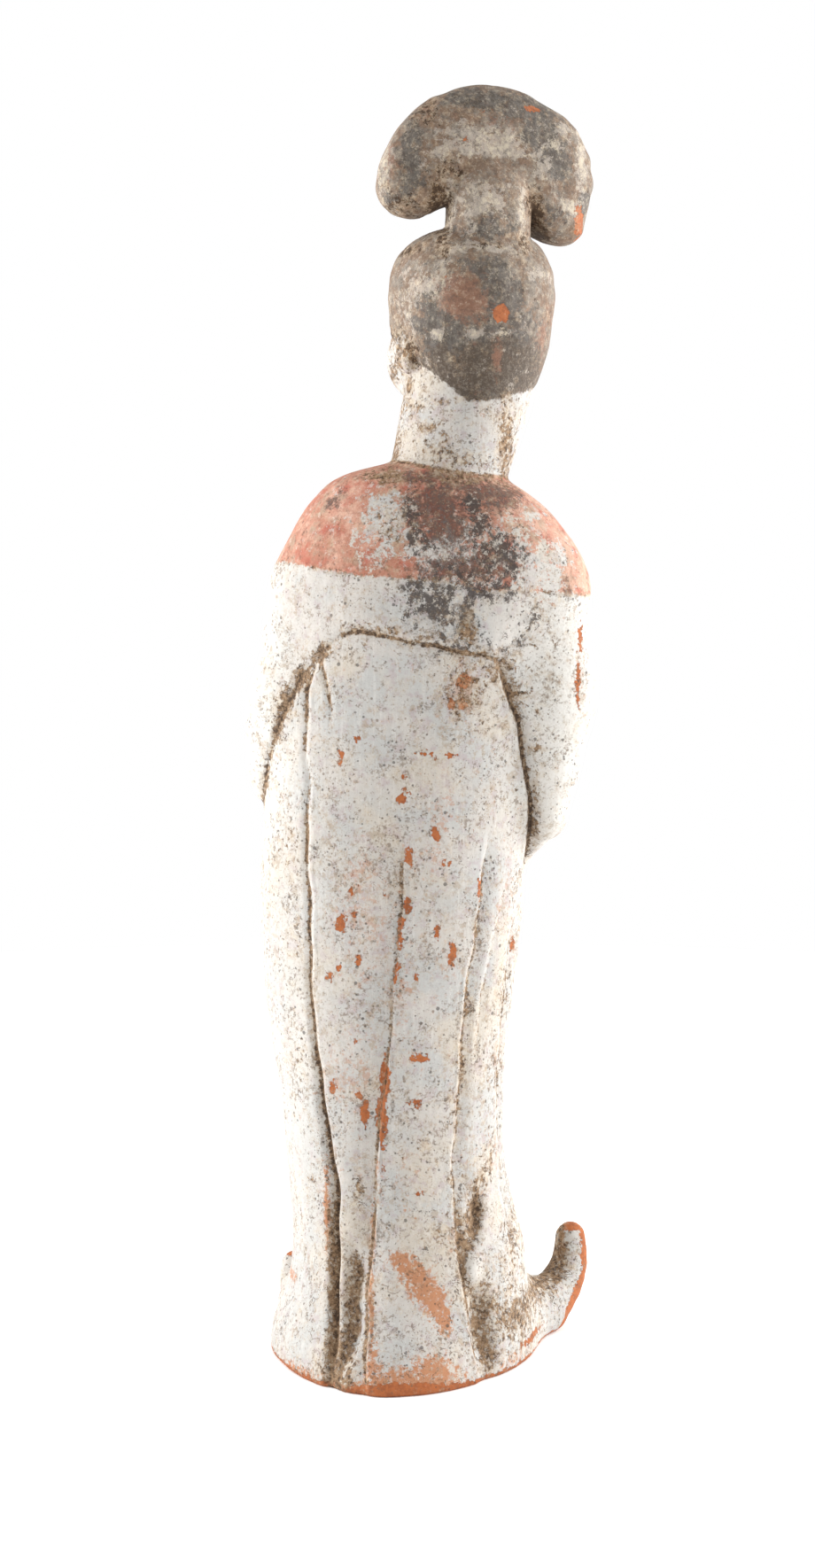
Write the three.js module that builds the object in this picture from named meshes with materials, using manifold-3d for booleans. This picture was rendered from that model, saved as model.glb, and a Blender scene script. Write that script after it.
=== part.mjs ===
// A painted pottery attendant from a Tang tomb: a full-bodied court lady who stands with her hands joined
// inside long sleeves and her head turned to her left. Her hair is drawn up into a stalk that carries a
// crescent bun. She was pressed from moulds and luted together, so she is one piece of fired clay.
//
// Frame: millimetres, +Z up. She faces -Y and her left hand is on the +X side. The origin is on the ground
// under the middle of her robe.
import * as THREE from "three";
import { mergeVertices } from "three/addons/utils/BufferGeometryUtils.js";
import Module from "manifold-3d";

// The height from the ground to the top of the bun. Every other length is in parts, of which she is 397 tall,
// so that one part is one millimetre at this height.
const height = 397;
const partsTall = 397;
const part = height / partsTall;

// The pose, in degrees.
const headTurn = 34; // to her own left
const bunTurn = 24; // the crescent bun turns a little less than the head
const backTurn = 10; // her back's drapery is laid out as seen from this far to the right of straight behind

// How finely the solid is faceted.
const skirtRowHeight = 10.5;
const bodiceRowHeight = 6.2;
const headRowHeight = 3;
const toeSides = 12;
const bunSides = 40;

// The robe's cross sections from below the ground to the neck.
// up, side, half width, reach of the back, reach of the front, roundness of the back
const robeSections = [
  [-6, 1, 43, 55.5, 41, 1.75],
  [8, 1, 42, 51, 40, 1.8],
  [20, 0, 38.5, 44, 38, 1.85],
  [35, 0, 36.6, 38, 36, 1.9],
  [54, 3, 35, 34, 35, 2],
  [77, 5, 35.2, 32, 35.5, 2],
  [100, 6, 37.8, 32, 37, 2],
  [120, 6, 40.3, 32.5, 39, 2],
  [140, 5.3, 41.8, 32.5, 40.5, 2],
  [160, 4.5, 42, 32, 40, 2],
  [180, 3, 41.5, 30.5, 39.5, 2.1],
  [200, 0, 40.5, 29, 38, 2.2],
  [220, -3.5, 42, 29, 35, 2.2],
  [240, -6, 45.5, 30, 30.5, 2.2],
  [252, -6.7, 45.5, 29.5, 27, 2.2],
  [262, -6, 41.6, 27, 24, 2.1],
  [270, -5, 34.5, 23.5, 21.5, 2.1],
  [277, -4.6, 25.6, 19.5, 18, 2],
  [284, -9, 12, 12, 12, 2],
];
const frontRoundness = 2.2;

// The creases that were cut into the cloth. Each follows points of up and across. Across her back it is
// measured to the right as seen from behind, and across her front to her left. Before and after say how
// gently the clay falls into the crease on its two sides, going round her from her left side by her back.
const creases = [
  {
    name: "long fold on the left of her back",
    path: [[4, -22.4], [37, -21.6], [66, -23.2], [96, -27.5], [134, -31], [188, -31], [221, -25.6]],
    depth: 4, before: 1.6, after: 2.8,
  },
  {
    name: "step at the edge of the middle panel",
    path: [[4, -12.6], [53, -11.4], [97, -7.4], [134, -3.4], [162, -1]],
    depth: 3, before: 7, after: 1.4,
  },
  {
    name: "long fold on the right of her back",
    path: [[8, 18.2], [31, 18], [49, 14.6], [81, 16.4], [117, 17], [141, 21.4], [161, 24.2]],
    depth: 3.2, before: 1.6, after: 4.5,
  },
  {
    name: "channel over the right heel",
    path: [[10, 24.4], [30, 24.4], [46, 20.6], [58, 21.6]],
    depth: 2.8, before: 2, after: 2.6,
  },
  {
    name: "groove under the left sleeve",
    path: [[176, -43.5], [186, -41], [204, -33.4], [212, -29.4], [227, -20]],
    depth: 3.2, before: 3.5, after: 2.2,
  },
  {
    name: "groove beside the right sleeve",
    path: [[157, 35.8], [178, 36.4], [193, 34.8], [201, 33.4], [217.5, 26.7]],
    depth: 3.4, before: 1.6, after: 5,
  },
  {
    name: "front fold on her right", onFront: true,
    path: [[4, -21], [60, -17], [130, -12]],
    depth: 3, before: 4.5, after: 1.8,
  },
  {
    name: "middle front fold", onFront: true,
    path: [[4, -3], [60, -2], [124, -1]],
    depth: 2.4, before: 2, after: 4,
  },
  {
    name: "front fold on her left", onFront: true,
    path: [[4, 19], [60, 16], [130, 11]],
    depth: 3, before: 1.8, after: 4.5,
  },
];
const creaseEnd = 12; // a crease fades over this length at an end that isn't at the hem
const hemHeight = 12; // a crease that reaches the hem is shallower over this height
const hemShare = 0.35; // and has this share of its depth at the ground

// The seam across the small of her back, where the skirt is tied: across and up.
const waistSeam = {
  path: [[-21, 227.5], [-12, 229], [4, 224.5], [20, 221], [28, 218]],
  depth: 1.2, soft: 1.5, middle: 224, reach: 16,
};

// Arms and sleeves, her right and then her left: shoulder, elbow and wrist, and the line along which the
// sleeve's cloth ends, from under the elbow to under the wrist. The cloth's radii are at the arm and at that
// line, under the elbow and then under the wrist.
const arms = [
  {
    shoulder: [-43.4, 2, 240], elbow: [-42.6, 0, 209], wrist: [-9, -39, 215],
    clothEnds: [[-42.6, 0, 170.6], [-10, -35, 138]], clothRadii: [[14.6, 8.4], [8.5, 6.5]],
  },
  {
    shoulder: [30, 1, 239], elbow: [34.4, -1, 206], wrist: [5, -39, 215],
    clothEnds: [[40.4, -2, 184.5], [7, -35, 150]], clothRadii: [[14.2, 11], [8.5, 6.5]],
  },
];
const shoulderRadius = 14;
const elbowRadius = 14.6;
const wristRadius = 9;
const swags = { count: 3, sag: 0.2, depth: 1.7 }; // the curved folds in each hanging sleeve
const clasp = { at: [-2, -38, 217], size: [11, 10, 11] };

// The feet under the robe, and the upturned toes: her right, and her left, which is worn to a stub.
const feet = [
  { heel: [-26, -6, 6], ball: [-40, -22, 7], radius: 10 },
  { heel: [24, -6, 6], ball: [36, -20, 6], radius: 10 },
];
const toes = [
  { path: [[-34, -14, 7], [-43, -24, 8.5], [-49.5, -32, 18], [-50.5, -35, 34]], radii: [9, 8.4, 6.6, 4.8] },
  { path: [[30, -14, 6], [38, -24, 7], [41.5, -29, 11], [42, -31, 17]], radii: [8.5, 7.6, 6, 5] },
];

// The neck and the head. The head's own frame turns with headTurn: to her left, to her back, and up.
const neck = { from: [-11, 1, 268], to: [-18.5, -3, 303], radii: [17.6, 19.3] };
const headCentre = [-19, -5, 322];
const face = { at: [0, -4, -1], size: [20.5, 20, 25] };
const cheek = { at: [10.5, -11, -9], radius: 11.5 };
const chin = { at: [0, -15, -19], radius: 6.5 };
const nose = { bridgeUp: 1, tipUp: -9, bridgeRadius: 1.8, tipRadius: 2.7 };
const eye = { side: 8.2, up: 1.5, size: [5, 2.2, 2.4], socketRadius: 3.4 };
const mouth = { up: -13.8, size: [4.6, 2, 1.3] };
const ear = { at: [20.5, 1, -3], size: [2.6, 4.5, 7.5] };

// The hair round her head from the nape to the crown: up, half width, reach of the back, reach of the front.
const hairSections = [
  [-32, 8, 12, 12],
  [-24, 16.5, 20, 19],
  [-15, 21, 23.5, 21],
  [-5, 24.5, 26, 21.5],
  [6, 25.8, 27.5, 22],
  [16, 25.5, 26.5, 22.5],
  [22, 23.4, 24.4, 21],
  [26, 20.8, 21.8, 19],
  [28.8, 16.4, 17.4, 15],
  [30.6, 10, 11, 9],
  [31.2, 1, 2, 1],
];
const hairRoundness = 2.15;
const hairline = { up: -10, backSlope: 0.65, frontSlope: 1.1, soft: 2.5, napeReach: 20 };

// The stalk and the crescent bun, which is a slab. Its outline is given as an angle above level, and the
// distance there on her left and on her right.
const stalk = { at: [0, 11.5, 34], size: [14, 10, 17.5] };
const bun = {
  at: [-3, 6.5, 50],
  thickness: 12.5,
  roundness: 2.4,
  outline: [
    [-90, 10.5, 10.5], [-65, 11.5, 14], [-56, 13, 20], [-50, 15.5, 29], [-44, 21, 34.4], [-39, 30, 36.4],
    [-34, 33.4, 37], [-27, 35.2, 35.4], [-18, 36.8, 34.8], [-8, 36, 34.5], [2, 34.4, 33.6], [14, 32, 32.2],
    [28, 29.8, 30.4], [46, 27.6, 28], [66, 25.4, 25.6], [90, 24.2, 24.2],
  ],
};

const clamp = (value, low, high) => Math.min(high, Math.max(low, value));
const mix = (a, b, t) => a + (b - a) * t;
const radians = (degrees) => (degrees * Math.PI) / 180;
const mixPoint = (a, b, t) => a.map((value, i) => mix(value, b[i], t));
const smooth = (value, low, high) => {
  const t = clamp((value - low) / (high - low), 0, 1);
  return t * t * (3 - 2 * t);
};
const distance = (a, b) => Math.hypot(a[0] - b[0], a[1] - b[1], a[2] - b[2]);

// Joins two distances with a fillet of about the given radius, as wet clay is pressed together.
function blend(a, b, fillet) {
  const overlap = Math.max(fillet - Math.abs(a - b), 0) / fillet;
  return Math.min(a, b) - (overlap * overlap * fillet) / 4;
}
const carve = (a, b, fillet) => -blend(-a, -b, fillet);

// The columns of a table at a value of its first column, on a smooth curve through the rows.
function along(table, at) {
  const last = table.length - 1;
  const x = clamp(at, table[0][0], table[last][0]);
  let i = 0;
  while (i < last - 1 && x > table[i + 1][0]) i += 1;
  const step = table[i + 1][0] - table[i][0];
  const t = (x - table[i][0]) / step;
  const slope = (row, column) => {
    const before = table[Math.max(row - 1, 0)];
    const after = table[Math.min(row + 1, last)];
    return (after[column] - before[column]) / (after[0] - before[0]);
  };
  return table[i].slice(1).map((value, index) => {
    const column = index + 1;
    const next = table[i + 1][column];
    const square = t * t;
    const cube = square * t;
    return (
      (2 * cube - 3 * square + 1) * value +
      (cube - 2 * square + t) * step * slope(i, column) +
      (3 * square - 2 * cube) * next +
      (cube - square) * step * slope(i + 1, column)
    );
  });
}

// Distances from a point to simple forms.
function toRod(p, from, to, startRadius, endRadius) {
  const axis = to.map((value, i) => value - from[i]);
  const dot = axis.reduce((sum, value, i) => sum + value * (p[i] - from[i]), 0);
  const t = clamp(dot / (axis[0] ** 2 + axis[1] ** 2 + axis[2] ** 2), 0, 1);
  return distance(p, mixPoint(from, to, t)) - mix(startRadius, endRadius, t);
}

function toEllipsoid(p, centre, size) {
  const q = p.map((value, i) => (value - centre[i]) / size[i]);
  const reach = Math.hypot(...q);
  const steepness = Math.hypot(q[0] / size[0], q[1] / size[1], q[2] / size[2]);
  return steepness < 1e-9 ? -Math.min(...size) : (reach * (reach - 1)) / steepness;
}

// How far an oval reaches at an angle. It is squarer than an ellipse where its roundness is over 2.
function ovalReach(angle, halfWidth, depth, roundness) {
  const wide = Math.abs(Math.cos(angle) / halfWidth) ** roundness;
  const deep = Math.abs(Math.sin(angle) / depth) ** roundness;
  return (wide + deep) ** (-1 / roundness);
}

// How far across her back a place is, as seen from behind.
function acrossBack(p) {
  const turn = radians(backTurn);
  return -(p[0] * Math.cos(turn) + p[1] * Math.sin(turn));
}

// Where the plain robe's surface is at a height, in a direction from the middle of the robe there.
function robeAt(up, angle) {
  const [side, halfWidth, back, front, backRoundness] = along(robeSections, up);
  const isBack = angle > 0;
  const reach = ovalReach(angle, halfWidth, isBack ? back : front, isBack ? backRoundness : frontRoundness);
  return { side, reach, place: [side + reach * Math.cos(angle), reach * Math.sin(angle), up] };
}

// The direction from the middle of the robe to a point of a crease. Going round her, across always grows.
function directionOf(crease, up, across) {
  let low = crease.onFront ? -Math.PI : 0;
  let high = low + Math.PI;
  for (let i = 0; i < 20; i += 1) {
    const half = (low + high) / 2;
    const place = robeAt(up, half).place;
    if ((crease.onFront ? place[0] : acrossBack(place)) < across) low = half;
    else high = half;
  }
  return (low + high) / 2;
}
for (const crease of creases) {
  crease.directions = crease.path.map(([up, across]) => [up, directionOf(crease, up, across)]);
}

// How deep a crease cuts at a place on the cloth.
function creaseDepth(crease, up, angle, reach) {
  const foot = crease.path[0][0];
  const top = crease.path[crease.path.length - 1][0];
  const atHem = mix(hemShare, 1, smooth(up, 0, hemHeight));
  const fadeBelow = foot < hemHeight ? atHem : clamp((up - foot) / creaseEnd + 0.5, 0, 1);
  const fade = fadeBelow * clamp((top - up) / creaseEnd + 0.5, 0, 1);
  if (fade === 0) return 0;
  const offset = (angle - along(crease.directions, up)[0]) * reach;
  const soft = offset < 0 ? crease.before : crease.after;
  return crease.depth * fade * Math.exp(-((offset / soft) ** 2));
}

function seamDepth(p) {
  const path = waistSeam.path;
  const across = acrossBack(p);
  if (p[1] < 0 || across < path[0][0] || across > path[path.length - 1][0]) return 0;
  return waistSeam.depth * Math.exp(-(((p[2] - along(path, across)[0]) / waistSeam.soft) ** 2));
}

// The robe from the hem to the neck, with its drapery.
function toRobe(p) {
  const [side] = along(robeSections, p[2]);
  const angle = Math.atan2(p[1], p[0] - side);
  const reach = Math.hypot(p[0] - side, p[1]);
  const wall = reach - robeAt(p[2], angle).reach;
  let cut = seamDepth(p);
  for (const crease of creases) cut += creaseDepth(crease, p[2], angle, reach);
  return Math.max(wall + cut, p[2] - robeSections[robeSections.length - 1][0]);
}

// An arm inside its sleeve, and the sleeve's cloth that hangs below the forearm.
function toArm(p, arm) {
  const upper = toRod(p, arm.shoulder, arm.elbow, shoulderRadius, elbowRadius);
  const lower = toRod(p, arm.elbow, arm.wrist, elbowRadius, wristRadius);
  const run = [arm.wrist[0] - arm.elbow[0], arm.wrist[1] - arm.elbow[1]];
  const dot = (p[0] - arm.elbow[0]) * run[0] + (p[1] - arm.elbow[1]) * run[1];
  const t = clamp(dot / (run[0] ** 2 + run[1] ** 2), 0, 1);
  const top = mixPoint(arm.elbow, arm.wrist, t);
  const end = mixPoint(arm.clothEnds[0], arm.clothEnds[1], t);
  const fall = clamp((top[2] - p[2]) / (top[2] - end[2]), 0, 1);
  const swag = Math.cos(2 * Math.PI * swags.count * (fall - swags.sag * 4 * t * (1 - t)));
  const fullness = smooth(fall, 0.05, 0.3) * 4 * t * (1 - t);
  const [atArm, atEnd] = mixPoint(arm.clothRadii[0], arm.clothRadii[1], t);
  const cloth = toRod(p, top, end, 0, 0) - mix(atArm, atEnd, fall * fall) - swags.depth * fullness * swag;
  return blend(blend(upper, lower, 6), cloth, 8);
}

// The head's own coordinates: to her left, to her back and up from the middle of the head.
function inHead(p) {
  const turn = radians(headTurn);
  const dx = p[0] - headCentre[0];
  const dy = p[1] - headCentre[1];
  return [
    dx * Math.cos(turn) + dy * Math.sin(turn),
    -dx * Math.sin(turn) + dy * Math.cos(turn),
    p[2] - headCentre[2],
  ];
}

// Where the face's rounded front lies, for features that sit on it.
function faceDepth(side, up) {
  const share = 1 - (side / face.size[0]) ** 2 - ((up - face.at[2]) / face.size[2]) ** 2;
  return face.at[1] - face.size[1] * Math.sqrt(Math.max(share, 0));
}

function toFace(q) {
  const mirrored = [Math.abs(q[0]), q[1], q[2]];
  let d = toEllipsoid(q, face.at, face.size);
  d = blend(d, distance(mirrored, cheek.at) - cheek.radius, 7);
  d = blend(d, distance(q, chin.at) - chin.radius, 8);
  const socket = [eye.side, faceDepth(eye.side, eye.up) - 2.6, eye.up];
  d = carve(d, eye.socketRadius - distance(mirrored, socket), 3);
  const lid = [eye.side, faceDepth(eye.side, eye.up) + 1.1, eye.up - 0.4];
  d = blend(d, toEllipsoid(mirrored, lid, eye.size), 1.2);
  const bridge = [0, faceDepth(0, nose.bridgeUp) + 1.2, nose.bridgeUp];
  const tip = [0, faceDepth(0, nose.tipUp) - 1.2, nose.tipUp];
  d = blend(d, toRod(q, bridge, tip, nose.bridgeRadius, nose.tipRadius), 2.5);
  const lips = [0, faceDepth(0, mouth.up) - 0.2, mouth.up];
  d = blend(d, toEllipsoid(q, lips, mouth.size), 1.5);
  return blend(d, toEllipsoid(mirrored, ear.at, ear.size), 1.5);
}

// How far above the hairline a place is.
function aboveHairline(q) {
  const slope = q[1] > 0 ? hairline.backSlope : hairline.frontSlope;
  return (q[2] - hairline.up + slope * q[1]) / Math.hypot(1, slope);
}

function toHair(q) {
  const [halfWidth, back, front] = along(hairSections, q[2]);
  const reach = ovalReach(Math.atan2(q[1], q[0]), halfWidth, q[1] > 0 ? back : front, hairRoundness);
  const surface = Math.hypot(q[0], q[1]) - reach;
  const beyondEnds = Math.max(q[2] - hairSections[hairSections.length - 1][0], hairSections[0][0] - q[2]);
  return carve(Math.max(surface, beyondEnds), -aboveHairline(q), hairline.soft);
}

// Everything but the bun, its stalk and the toes.
function toBody(p) {
  let d = toRobe(p);
  const sleeves = blend(toArm(p, arms[0]), toArm(p, arms[1]), 4);
  d = blend(d, blend(sleeves, toEllipsoid(p, clasp.at, clasp.size), 6), 8);
  for (const foot of feet) d = blend(d, toRod(p, foot.heel, foot.ball, foot.radius, foot.radius), 9);
  d = blend(d, toRod(p, neck.from, neck.to, ...neck.radii), 5);
  const q = inHead(p);
  return blend(blend(d, toFace(q), 4), toHair(q), 1.5);
}

// The line inside the figure that the facets are measured out from: up, side, depth.
const spine = [
  [-6, 1, 0],
  [100, 4, -3],
  [200, 0, -3],
  [262, -8, 0],
  [280, -13, -1],
  [300, -18, -4],
  [350, -19, -5],
];

// Columns of facets run along these creases, in order from her left side round her back and then her front,
// and more columns are spread evenly in the gap before each one.
const guides = [
  { crease: creases[0], columnsBefore: 14 },
  { crease: creases[1], columnsBefore: 3 },
  { crease: creases[2], columnsBefore: 4 },
  { crease: creases[6], columnsBefore: 14 },
  { crease: creases[7], columnsBefore: 4 },
  { crease: creases[8], columnsBefore: 4 },
];
const guideFade = 50; // beyond a crease's upper end its columns spread out evenly over this height
const columnCount = guides.reduce((sum, guide) => sum + guide.columnsBefore + 3, 0);
const evenTurn = (column) => (2 * Math.PI * column) / columnCount - radians(45);

// A closed surface from rings of points, with a point added in the middle of each end.
function skin(rings) {
  const middle = (ring) => ring.reduce((sum, point) => sum.add(point), new THREE.Vector3()).divideScalar(ring.length);
  const sides = rings[0].length;
  const points = [...rings.flat(), middle(rings[0]), middle(rings[rings.length - 1])];
  const first = points.length - 2;
  const faces = [];
  for (let i = 0; i < sides; i += 1) {
    const next = (i + 1) % sides;
    faces.push(first, next, i);
    for (let row = 0; row < rings.length - 1; row += 1) {
      const a = row * sides + i;
      const b = row * sides + next;
      faces.push(a, b, b + sides, a, b + sides, a + sides);
    }
    const top = (rings.length - 1) * sides;
    faces.push(first + 1, top + i, top + next);
  }
  return new THREE.BufferGeometry()
    .setFromPoints(points.map((point) => point.clone().multiplyScalar(part)))
    .setIndex(faces);
}

// The outermost place on the clay in a direction from the spine.
function surfaceAt(origin, angle, up) {
  const place = (reach) => [origin[0] + reach * Math.cos(angle), origin[1] + reach * Math.sin(angle), up];
  const step = 2;
  let outer = 90;
  while (outer > step && toBody(place(outer - step)) > 0) outer -= step;
  let inner = outer - step;
  for (let i = 0; i < 12; i += 1) {
    const half = (inner + outer) / 2;
    if (toBody(place(half)) < 0) inner = half;
    else outer = half;
  }
  return place(Math.max(inner, 0.4));
}

// The directions of a ring's columns. Each guide has a column along the bottom of its crease and one on each
// bank of it.
function columnAngles(origin, up) {
  let column = 0;
  const guided = guides.map(({ crease, columnsBefore }) => {
    const { place, reach } = robeAt(up, along(crease.directions, up)[0]);
    const angle = Math.atan2(place[1] - origin[1], place[0] - origin[0]);
    const turn = angle < 0 ? angle + 2 * Math.PI : angle;
    const top = crease.path[crease.path.length - 1][0];
    const evenness = smooth(up, top, top + guideFade);
    column += columnsBefore + 3;
    return [
      mix(turn - crease.before / reach, evenTurn(column - 3), evenness),
      mix(turn, evenTurn(column - 2), evenness),
      mix(turn + crease.after / reach, evenTurn(column - 1), evenness),
    ];
  });
  const angles = [];
  let from = guided[guides.length - 1][2] - 2 * Math.PI;
  guides.forEach((guide, i) => {
    const columns = guide.columnsBefore;
    for (let k = 1; k <= columns; k += 1) angles.push(mix(from, guided[i][0], k / (columns + 1)));
    angles.push(...guided[i]);
    from = guided[i][2];
  });
  return angles;
}

// How far a ring of facets rises at a place, so that rings run along the waist seam and the nape's hairline.
function ringRise(place, up) {
  const seam = waistSeam.path;
  const across = clamp(acrossBack(place), seam[0][0], seam[seam.length - 1][0]);
  const atSeam = place[1] > 0 ? Math.exp(-(((up - waistSeam.middle) / waistSeam.reach) ** 2)) : 0;
  const q = inHead(place);
  const level = headCentre[2] + hairline.up;
  const atHairline = smooth(up, level - 34, level - 6) * (1 - smooth(up, level + 4, level + 32));
  const nape = (Math.max(q[1], 0) / Math.hypot(q[0], q[1])) * -hairline.backSlope * hairline.napeReach;
  return atSeam * (along(seam, across)[0] - waistSeam.middle) + atHairline * nape;
}

function bodyGeometry() {
  const crown = headCentre[2] + hairSections[hairSections.length - 1][0];
  const sleeveFoot = 148;
  const collar = 268;
  const heights = [];
  for (let up = -4; up < sleeveFoot; up += skirtRowHeight) heights.push(up);
  for (let up = sleeveFoot; up < collar; up += bodiceRowHeight) heights.push(up);
  for (let up = collar; up < crown - 4; up += headRowHeight) heights.push(up);
  heights.push(crown - 2.6, crown - 1, crown - 0.2);
  const rings = heights.map((up) => {
    const origin = along(spine, up);
    return columnAngles(origin, up).map((angle) => {
      const flat = surfaceAt(origin, angle, up);
      return new THREE.Vector3(...surfaceAt(origin, angle, up + ringRise(flat, up)));
    });
  });
  return skin(rings);
}

// A toe: round rings square to its curve, drawn together at both ends.
function toeGeometry(toe) {
  const curve = new THREE.CatmullRomCurve3(toe.path.map((point) => new THREE.Vector3(...point)));
  const radii = toe.radii.map((radius, i) => [i / (toe.radii.length - 1), radius]);
  const rows = 10;
  const rings = [];
  for (let row = 0; row <= rows; row += 1) {
    const t = row / rows;
    const centre = curve.getPoint(t);
    const tangent = curve.getTangent(t);
    const across = new THREE.Vector3(0, 1, 0).cross(tangent).normalize();
    const over = new THREE.Vector3().crossVectors(tangent, across).normalize();
    const end = clamp(Math.min(t, 1 - t) / 0.16, 0.02, 1);
    const radius = along(radii, t)[0] * Math.sqrt(1 - (1 - end) ** 2);
    rings.push(
      Array.from({ length: toeSides }, (_, i) => {
        const angle = (2 * Math.PI * i) / toeSides;
        const offset = across.clone().multiplyScalar(Math.cos(angle)).addScaledVector(over, Math.sin(angle));
        return centre.clone().addScaledVector(offset, radius);
      }),
    );
  }
  return skin(rings);
}

const headFrame = new THREE.Matrix4()
  .makeRotationZ(radians(headTurn))
  .setPosition(new THREE.Vector3(...headCentre));
const bunFrame = new THREE.Matrix4()
  .makeRotationZ(radians(bunTurn))
  .setPosition(new THREE.Vector3(...bun.at).applyMatrix4(headFrame));

// The crescent bun: rings of its outline, from the middle of its front face over the rim to its back face.
function bunGeometry() {
  const rows = 10;
  const power = 2 / bun.roundness;
  const rings = [];
  for (let row = 0; row <= rows; row += 1) {
    const tilt = Math.PI * (clamp(row, 0.15, rows - 0.15) / rows - 0.5);
    const deep = Math.sign(tilt) * Math.abs(Math.sin(tilt)) ** power * bun.thickness;
    const wide = Math.cos(tilt) ** power;
    rings.push(
      Array.from({ length: bunSides }, (_, i) => {
        const angle = (2 * Math.PI * i) / bunSides;
        const [toLeft, toRight] = along(bun.outline, (Math.asin(Math.sin(angle)) * 180) / Math.PI);
        const reach = wide * (Math.cos(angle) > 0 ? toLeft : toRight);
        const place = new THREE.Vector3(reach * Math.cos(angle), -deep, reach * Math.sin(angle));
        return place.applyMatrix4(bunFrame);
      }),
    );
  }
  return skin(rings);
}

function stalkGeometry() {
  const stretch = new THREE.Matrix4().makeScale(...stalk.size).setPosition(...stalk.at);
  return new THREE.SphereGeometry(1, 16, 10)
    .applyMatrix4(stretch)
    .applyMatrix4(headFrame)
    .scale(part, part, part);
}

// The ground is cut away below the hem, so that she stands on one flat face.
function groundGeometry() {
  const wide = 0.6 * height;
  const deep = 0.1 * height;
  return new THREE.BoxGeometry(wide, wide, deep).translate(0, 0, -deep / 2);
}

// Joins and cuts the solids, and gives the result back as a geometry.
async function fireInOnePiece(added, removed) {
  const wasm = await Module();
  wasm.setup();
  const solidOf = (geometry) => {
    const bare = geometry.clone();
    bare.deleteAttribute("normal");
    bare.deleteAttribute("uv");
    const merged = mergeVertices(bare, 1e-4);
    const vertProperties = new Float32Array(merged.attributes.position.array);
    const triVerts = new Uint32Array(merged.index.array);
    return new wasm.Manifold(new wasm.Mesh({ numProp: 3, vertProperties, triVerts }));
  };
  const joined = added.map(solidOf).reduce((whole, solid) => whole.add(solid));
  const mesh = joined.subtract(solidOf(removed)).getMesh();
  return new THREE.BufferGeometry()
    .setAttribute("position", new THREE.BufferAttribute(mesh.vertProperties, 3))
    .setIndex(new THREE.BufferAttribute(mesh.triVerts, 1));
}

const clay = new THREE.MeshStandardMaterial({ color: 0xd9d3cb, roughness: 0.9, metalness: 0 });

const solids = [bodyGeometry(), stalkGeometry(), bunGeometry(), ...toes.map(toeGeometry)];
const geometry = await fireInOnePiece(solids, groundGeometry());
geometry.computeVertexNormals();

const attendant = new THREE.Mesh(geometry, clay);
attendant.name = "attendant_figure";

const model = new THREE.Group();
model.add(attendant);

export default model;
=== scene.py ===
"""Looks for a painted pottery attendant from a Tang tomb, a court lady seen from behind.

Her clay is a field of distances, negative inside, in which rounded forms are pressed together and creases
are cut. The fine surface is drawn from that field, and paint, wear and burial earth are laid over it.
Lengths are in parts, of which she is 397 tall, with +Z up. She faces -Y and her left hand is on the +X side.
"""
import math

import bpy
import numpy as np
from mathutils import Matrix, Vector

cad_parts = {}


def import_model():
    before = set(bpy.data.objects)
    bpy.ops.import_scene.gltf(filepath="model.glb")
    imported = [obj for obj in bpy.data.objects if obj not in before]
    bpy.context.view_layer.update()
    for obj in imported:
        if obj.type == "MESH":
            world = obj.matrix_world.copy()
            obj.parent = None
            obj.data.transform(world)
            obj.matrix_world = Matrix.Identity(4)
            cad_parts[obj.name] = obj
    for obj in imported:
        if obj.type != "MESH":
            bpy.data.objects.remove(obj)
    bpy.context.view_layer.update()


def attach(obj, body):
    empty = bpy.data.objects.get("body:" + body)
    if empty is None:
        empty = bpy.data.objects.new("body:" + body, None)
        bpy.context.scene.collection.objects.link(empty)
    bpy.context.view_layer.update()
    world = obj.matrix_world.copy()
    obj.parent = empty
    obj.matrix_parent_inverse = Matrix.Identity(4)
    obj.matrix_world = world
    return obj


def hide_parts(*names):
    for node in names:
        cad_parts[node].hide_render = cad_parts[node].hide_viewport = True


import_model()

height = 0.397  # metres
parts_tall = 397
part = height / parts_tall

# The pose, in degrees
head_turn = 34
bun_turn = 24
back_turn = 10

# The robe's cross sections: up, side, half width, reach of the back and of the front, roundness of the back
robe_sections = [
    [-6, 1, 43, 55.5, 41, 1.75],
    [8, 1, 42, 51, 40, 1.8],
    [20, 0, 38.5, 44, 38, 1.85],
    [35, 0, 36.6, 38, 36, 1.9],
    [54, 3, 35, 34, 35, 2],
    [77, 5, 35.2, 32, 35.5, 2],
    [100, 6, 37.8, 32, 37, 2],
    [120, 6, 40.3, 32.5, 39, 2],
    [140, 5.3, 41.8, 32.5, 40.5, 2],
    [160, 4.5, 42, 32, 40, 2],
    [180, 3, 41.5, 30.5, 39.5, 2.1],
    [200, 0, 40.5, 29, 38, 2.2],
    [220, -3.5, 42, 29, 35, 2.2],
    [240, -6, 45.5, 30, 30.5, 2.2],
    [252, -6.7, 45.5, 29.5, 27, 2.2],
    [262, -6, 41, 27, 24, 2.1],
    [270, -4.8, 34.2, 23.5, 21.5, 2.1],
    [276.8, -4.2, 24.6, 18.8, 17.6, 2],
    [282, -10, 10, 10, 10, 2],
]
front_roundness = 2.2

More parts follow.
